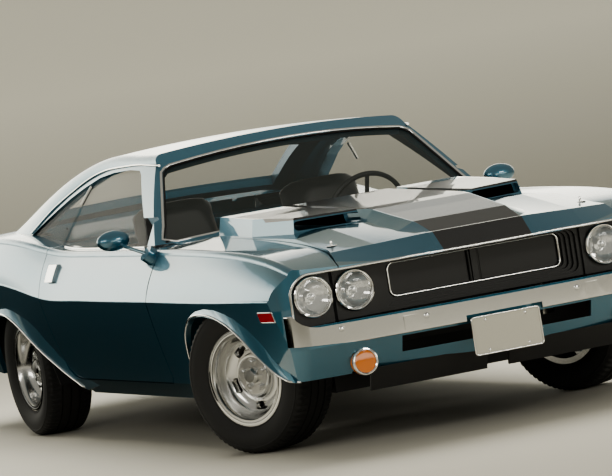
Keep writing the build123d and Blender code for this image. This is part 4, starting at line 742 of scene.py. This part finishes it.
for side, sign in SIDES:
    plate = bmesh.new()
    bmesh.ops.create_circle(plate, cap_ends=True, segments=48, radius=1.0)
    for vert in plate.verts:
        vert.co = Vector((sign * 0.950 + vert.co.x * 0.066, -0.4663, 0.943 + vert.co.y * 0.038))
    bmesh.ops.recalc_face_normals(plate, faces=plate.faces[:])
    bmesh.ops.solidify(plate, geom=plate.faces[:], thickness=0.0015)
    finished(plate, f"mirror_glass_{side}", chrome, 40, f"door_{side}")
print("side pieces ready")

# %% [markdown]
# ## Seats
# Each seat is a cushion and a tall round-topped back, sewn from vinyl. A pad
# starts as a rounded slab a little smaller than its solid, is filled with air as
# cloth, and is held to a small swell, so its faces crown and its edges draw in.

# %% Padding
def slab(profile, x0, x1, rounding, top_round=0.0):
    """A closed mesh: a side outline (y, z) carried from x0 to x1, its edges rounded."""
    mesh = bmesh.new()
    face = mesh.faces.new([mesh.verts.new((x0, y, z)) for y, z in profile])
    out = bmesh.ops.extrude_face_region(mesh, geom=[face])
    moved = [v for v in out["geom"] if isinstance(v, bmesh.types.BMVert)]
    bmesh.ops.translate(mesh, verts=moved, vec=(x1 - x0, 0, 0))
    bmesh.ops.recalc_face_normals(mesh, faces=mesh.faces[:])
    if top_round:
        high = max(v.co.z for v in mesh.verts)
        corners = [e for e in mesh.edges if abs(e.verts[0].co.x - e.verts[1].co.x) < 1e-6
                   and abs(e.verts[0].co.y - e.verts[1].co.y) > 0.03 and min(v.co.z for v in e.verts) > high - 0.07]
        bmesh.ops.bevel(mesh, geom=corners, offset=top_round, segments=6, profile=0.5, affect="EDGES")
    bmesh.ops.bevel(mesh, geom=[e for e in mesh.edges if e.calc_face_angle(0) > radians(25)], offset=rounding,
                    segments=3, profile=0.5, affect="EDGES")
    return mesh


def remeshed(obj, voxel):
    """The same piece in even small quads."""
    modifier = obj.modifiers.new("even", "REMESH")
    modifier.mode, modifier.voxel_size = "VOXEL", voxel
    graph = bpy.context.evaluated_depsgraph_get()
    data = bpy.data.meshes.new_from_object(obj.evaluated_get(graph))
    obj.modifiers.remove(modifier)
    materials = list(obj.data.materials)
    obj.data = data
    data.materials.clear()
    for material in materials:
        data.materials.append(material)
    return obj


def puffed(obj, voxel=0.014, pressure=4.0, cap=0.014, frames=14):
    """Fills a pad with air as cloth, caps how far it swells, and applies the result."""
    remeshed(obj, voxel)
    scene = bpy.context.scene
    start = [v.co.copy() for v in obj.data.vertices]
    cloth = obj.modifiers.new("air", "CLOTH")
    cloth.settings.quality = 5
    cloth.settings.use_pressure, cloth.settings.uniform_pressure_force = True, pressure
    cloth.settings.effector_weights.gravity = 0.0
    cloth.point_cache.frame_end = frames
    for frame_number in range(1, frames + 1):
        scene.frame_set(frame_number)
    blown = obj.evaluated_get(bpy.context.evaluated_depsgraph_get()).to_mesh()
    moved = [v.co.copy() for v in blown.vertices]
    obj.modifiers.remove(cloth)
    for vertex, before, after in zip(obj.data.vertices, start, moved):
        step = after - before
        vertex.co = before + step * min(1.0, cap / max(step.length, 1e-9))
    scene.frame_set(1)
    smooth = bmesh.new()
    smooth.from_mesh(obj.data)
    for _ in range(3):
        bmesh.ops.smooth_vert(smooth, verts=smooth.verts[:], factor=0.5,
                              use_axis_x=True, use_axis_y=True, use_axis_z=True)
    smooth.to_mesh(obj.data)
    smooth.free()
    obj.data.polygons.foreach_set("use_smooth", [True] * len(obj.data.polygons))
    subdivision = obj.modifiers.new("fine", "SUBSURF")
    subdivision.levels = subdivision.render_levels = 1
    return obj


# %% Front and rear seats
SEAT_X, SEAT_HALF = 0.370, 0.222
CUSHION = [(-0.332, 0.340), (-0.332, 0.440), (-0.290, 0.470), (0.125, 0.435), (0.142, 0.340)]
BACK = [(0.142, 0.410), (0.246, 0.410), (0.328, 1.020), (0.306, 1.066), (0.254, 1.060), (0.222, 0.996)]
REAR_CUSHION = [(0.636, 0.300), (0.636, 0.428), (0.672, 0.448), (0.975, 0.418), (0.985, 0.300)]
REAR_BACK = [(0.950, 0.420), (0.995, 0.850), (1.018, 0.868), (1.034, 0.868), (1.034, 0.420)]

for side, sign in SIDES:
    x0, x1 = sign * SEAT_X - SEAT_HALF, sign * SEAT_X + SEAT_HALF
    for name, profile, top in (("cushion", CUSHION, 0.0), ("back", BACK, 0.13)):
        pad = slab(profile, x0 + 0.008, x1 - 0.008, 0.030, top)
        piece = finished(pad, f"seat_{name}_{side}", vinyl, 60, "body")
        puffed(piece)
    base_profile = [(-0.285, 0.256), (-0.285, 0.345), (0.145, 0.345), (0.145, 0.256)]
    finished(slab(base_profile, x0 + 0.03, x1 - 0.03, 0.008), f"seat_base_{side}", black_matte, 40, "body")
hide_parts("front_seats")
for name, profile in (("cushion", REAR_CUSHION), ("back", REAR_BACK)):
    pad = finished(slab(profile, -0.572, 0.572, 0.030), f"rear_seat_{name}", vinyl, 60, "body")
    puffed(pad, 0.018)
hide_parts("rear_seat")

# %% [markdown]
# ## Studio and camera
# A long lens from far off keeps the car's lines almost parallel. The camera is
# tilted a little, and the light is a broad soft ceiling with one long strip on
# each side, because paint only shows what it reflects.

# %% Stage
def stage_sheet(name, width, near, far, height, colour):
    mesh = bmesh.new()
    bend, steps = 3.0, 12
    rows = [(near, 0.0)] + [(far - bend + bend * sin(a), bend - bend * cos(a)) for a in
                            [pi / 2 * i / steps for i in range(steps + 1)]] + [(far, height)]
    edge = [mesh.verts.new((-width, y, z)) for y, z in rows]
    for a, b in zip(edge, edge[1:]):
        mesh.edges.new((a, b))
    bmesh.ops.extrude_edge_only(mesh, edges=mesh.edges[:])
    for vert in mesh.verts:
        if vert not in edge:
            vert.co.x = width
    bmesh.ops.recalc_face_normals(mesh, faces=mesh.faces[:])
    return finished(mesh, name, colour, smooth=30)


def painted_light_backdrop():
    finish = Finish("backdrop", roughness=0.9)
    point, (x, y, z) = finish.place()
    # Painted shade: the sweep's colour darkens towards the top, where less light falls.
    stops = [(0.0, (0.56, 0.54, 0.47)), (0.25, (0.50, 0.48, 0.40)), (1.0, (0.27, 0.265, 0.22))]
    # Painted light: the sweep glows like a lit wall, from nothing at the floor to full strength about 1.5 m up.
    glow = [(0.0, (0.0, 0.0, 0.0)), (0.08, (0.10, 0.097, 0.080)),
            (0.22, (0.27, 0.258, 0.205)), (1.0, (0.24, 0.23, 0.18))]
    finish.set(base_color=finish.node("ShaderNodeValToRGB", {"stops": stops}, {0: z / 7.0}))
    finish.shader.inputs["Emission Strength"].default_value = 1.0
    return finish.set(emission_color=finish.node("ShaderNodeValToRGB", {"stops": glow}, {0: z / 7.0})).material


def area_light(name, size, power, place, aim, colour=(1.0, 0.97, 0.90)):
    data = bpy.data.lights.new(name, "AREA")
    data.shape, data.size, data.size_y = "RECTANGLE", size[0], size[1]
    data.energy, data.color = power, colour
    light = bpy.data.objects.new(name, data)
    light.location = place
    light.rotation_euler = (Vector(aim) - Vector(place)).to_track_quat("-Z", "Y").to_euler()
    bpy.context.scene.collection.objects.link(light)
    return light


def card(name, corners, stops, height, strength):
    """A sheet that only reflections see, its glow set by height: a studio card, or a black sheet of painted shade."""
    mesh = bmesh.new()
    mesh.faces.new([mesh.verts.new(corner) for corner in corners])
    finish = Finish(name, base_color=(0, 0, 0), roughness=1.0)
    point, (x, y, z) = finish.place()
    finish.set(emission_color=finish.node("ShaderNodeValToRGB", {"stops": stops}, {0: z / height}))
    finish.shader.inputs["Emission Strength"].default_value = strength
    finish.shader.inputs["Specular IOR Level"].default_value = 0.0
    sheet = finished(mesh, name, finish.material, 30)
    sheet.visible_camera = sheet.visible_diffuse = sheet.visible_shadow = sheet.visible_transmission = False
    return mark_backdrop(sheet)


stage_sheet("studio_sweep", 30.0, -24.0, 16.0, 14.0, painted_light_backdrop())
BLACK, CREAM = (0.0, 0.0, 0.0), (1.0, 0.97, 0.84)
SKY_GLOW = [(0.04, BLACK), (0.13, (0.30, 0.31, 0.29)), (0.20, (0.42, 0.42, 0.37)),
            (0.31, CREAM), (0.66, CREAM), (1.0, (0.25, 0.27, 0.27))]
FRONT_GLOW = [(0.0, (0.35, 0.34, 0.30)), (0.2, CREAM), (0.7, CREAM), (1.0, (0.2, 0.2, 0.18))]
card("horizon_card", [(-16, 11.0, 0.25), (16, 11.0, 0.25), (16, 12.5, 7.0), (-16, 12.5, 7.0)],
     SKY_GLOW, 7.0, 2.9)
# Painted shade: a black sheet on the floor beside the car, seen only in reflections, so the lower sides reflect a
# shaded floor.
card("floor_flag", [(-9, -0.6, 0.004), (-1.05, -0.6, 0.004), (-1.05, 10.5, 0.004), (-9, 10.5, 0.004)],
     [(0.0, BLACK), (1.0, BLACK)], 1.0, 0.0)
card("front_card", [(11, -12, 0.02), (-2, -14, 0.02), (-2, -14, 2.6), (11, -12, 2.6)], FRONT_GLOW, 2.6, 2.4)
ceiling = area_light("ceiling", (7.0, 3.6), 520, (0.6, 0.8, 5.4), (0, -0.2, 0.5))
ceiling.visible_glossy = False
area_light("side_strip", (6.0, 1.2), 110, (-6.5, -5.0, 3.2), (0, -0.6, 0.8))
area_light("front_strip", (3.0, 1.0), 90, (3.5, -8.5, 3.4), (0, -1.0, 0.7))

world = bpy.data.worlds.new("studio_air")
bpy.context.scene.world = world
world.use_nodes = True
background = world.node_tree.nodes["Background"]
background.inputs["Color"].default_value = (0.72, 0.70, 0.62, 1.0)
background.inputs["Strength"].default_value = 0.42

# %% Camera
CAMERA_AT = Vector((-6.8764, -17.7774, 1.6621))
HEADING, DROP, ROLL = radians(-21.6604), radians(2.5743), radians(-9.0378)
FOCAL_PIXELS, FRAME_WIDTH, FRAME_HEIGHT = 4130.68, 612, 476
CENTRE_PIXEL = (312.29, 232.59)
SENSOR = 36.0


def add_camera():
    ahead = Vector((-sin(HEADING) * cos(DROP), cos(HEADING) * cos(DROP), -sin(DROP)))
    level = ahead.cross(Vector((0, 0, 1))).normalized()
    upright = level.cross(ahead)
    right = level * cos(ROLL) + upright * sin(ROLL)
    up = upright * cos(ROLL) - level * sin(ROLL)
    data = bpy.data.cameras.new("camera")
    data.sensor_fit, data.sensor_width = "HORIZONTAL", SENSOR
    data.lens = FOCAL_PIXELS / FRAME_WIDTH * SENSOR
    data.shift_x = (FRAME_WIDTH / 2 - CENTRE_PIXEL[0]) / FRAME_WIDTH
    data.shift_y = (CENTRE_PIXEL[1] - FRAME_HEIGHT / 2) / FRAME_WIDTH
    data.clip_end = 200.0
    camera = bpy.data.objects.new("camera", data)
    turn = Matrix((right, up, -ahead)).transposed().to_4x4()
    camera.matrix_world = Matrix.Translation(CAMERA_AT) @ turn
    bpy.context.scene.collection.objects.link(camera)
    bpy.context.scene.camera = camera
    print("lens", round(data.lens, 1), "mm, shift", round(data.shift_x, 4), round(data.shift_y, 4))


add_camera()
view = bpy.context.scene.view_settings
view.view_transform, view.look, view.exposure = "AgX", "AgX - Medium High Contrast", 0.0

# %% Last update of the solids' meshes
for solid in nodes.values():
    solid.data.update()
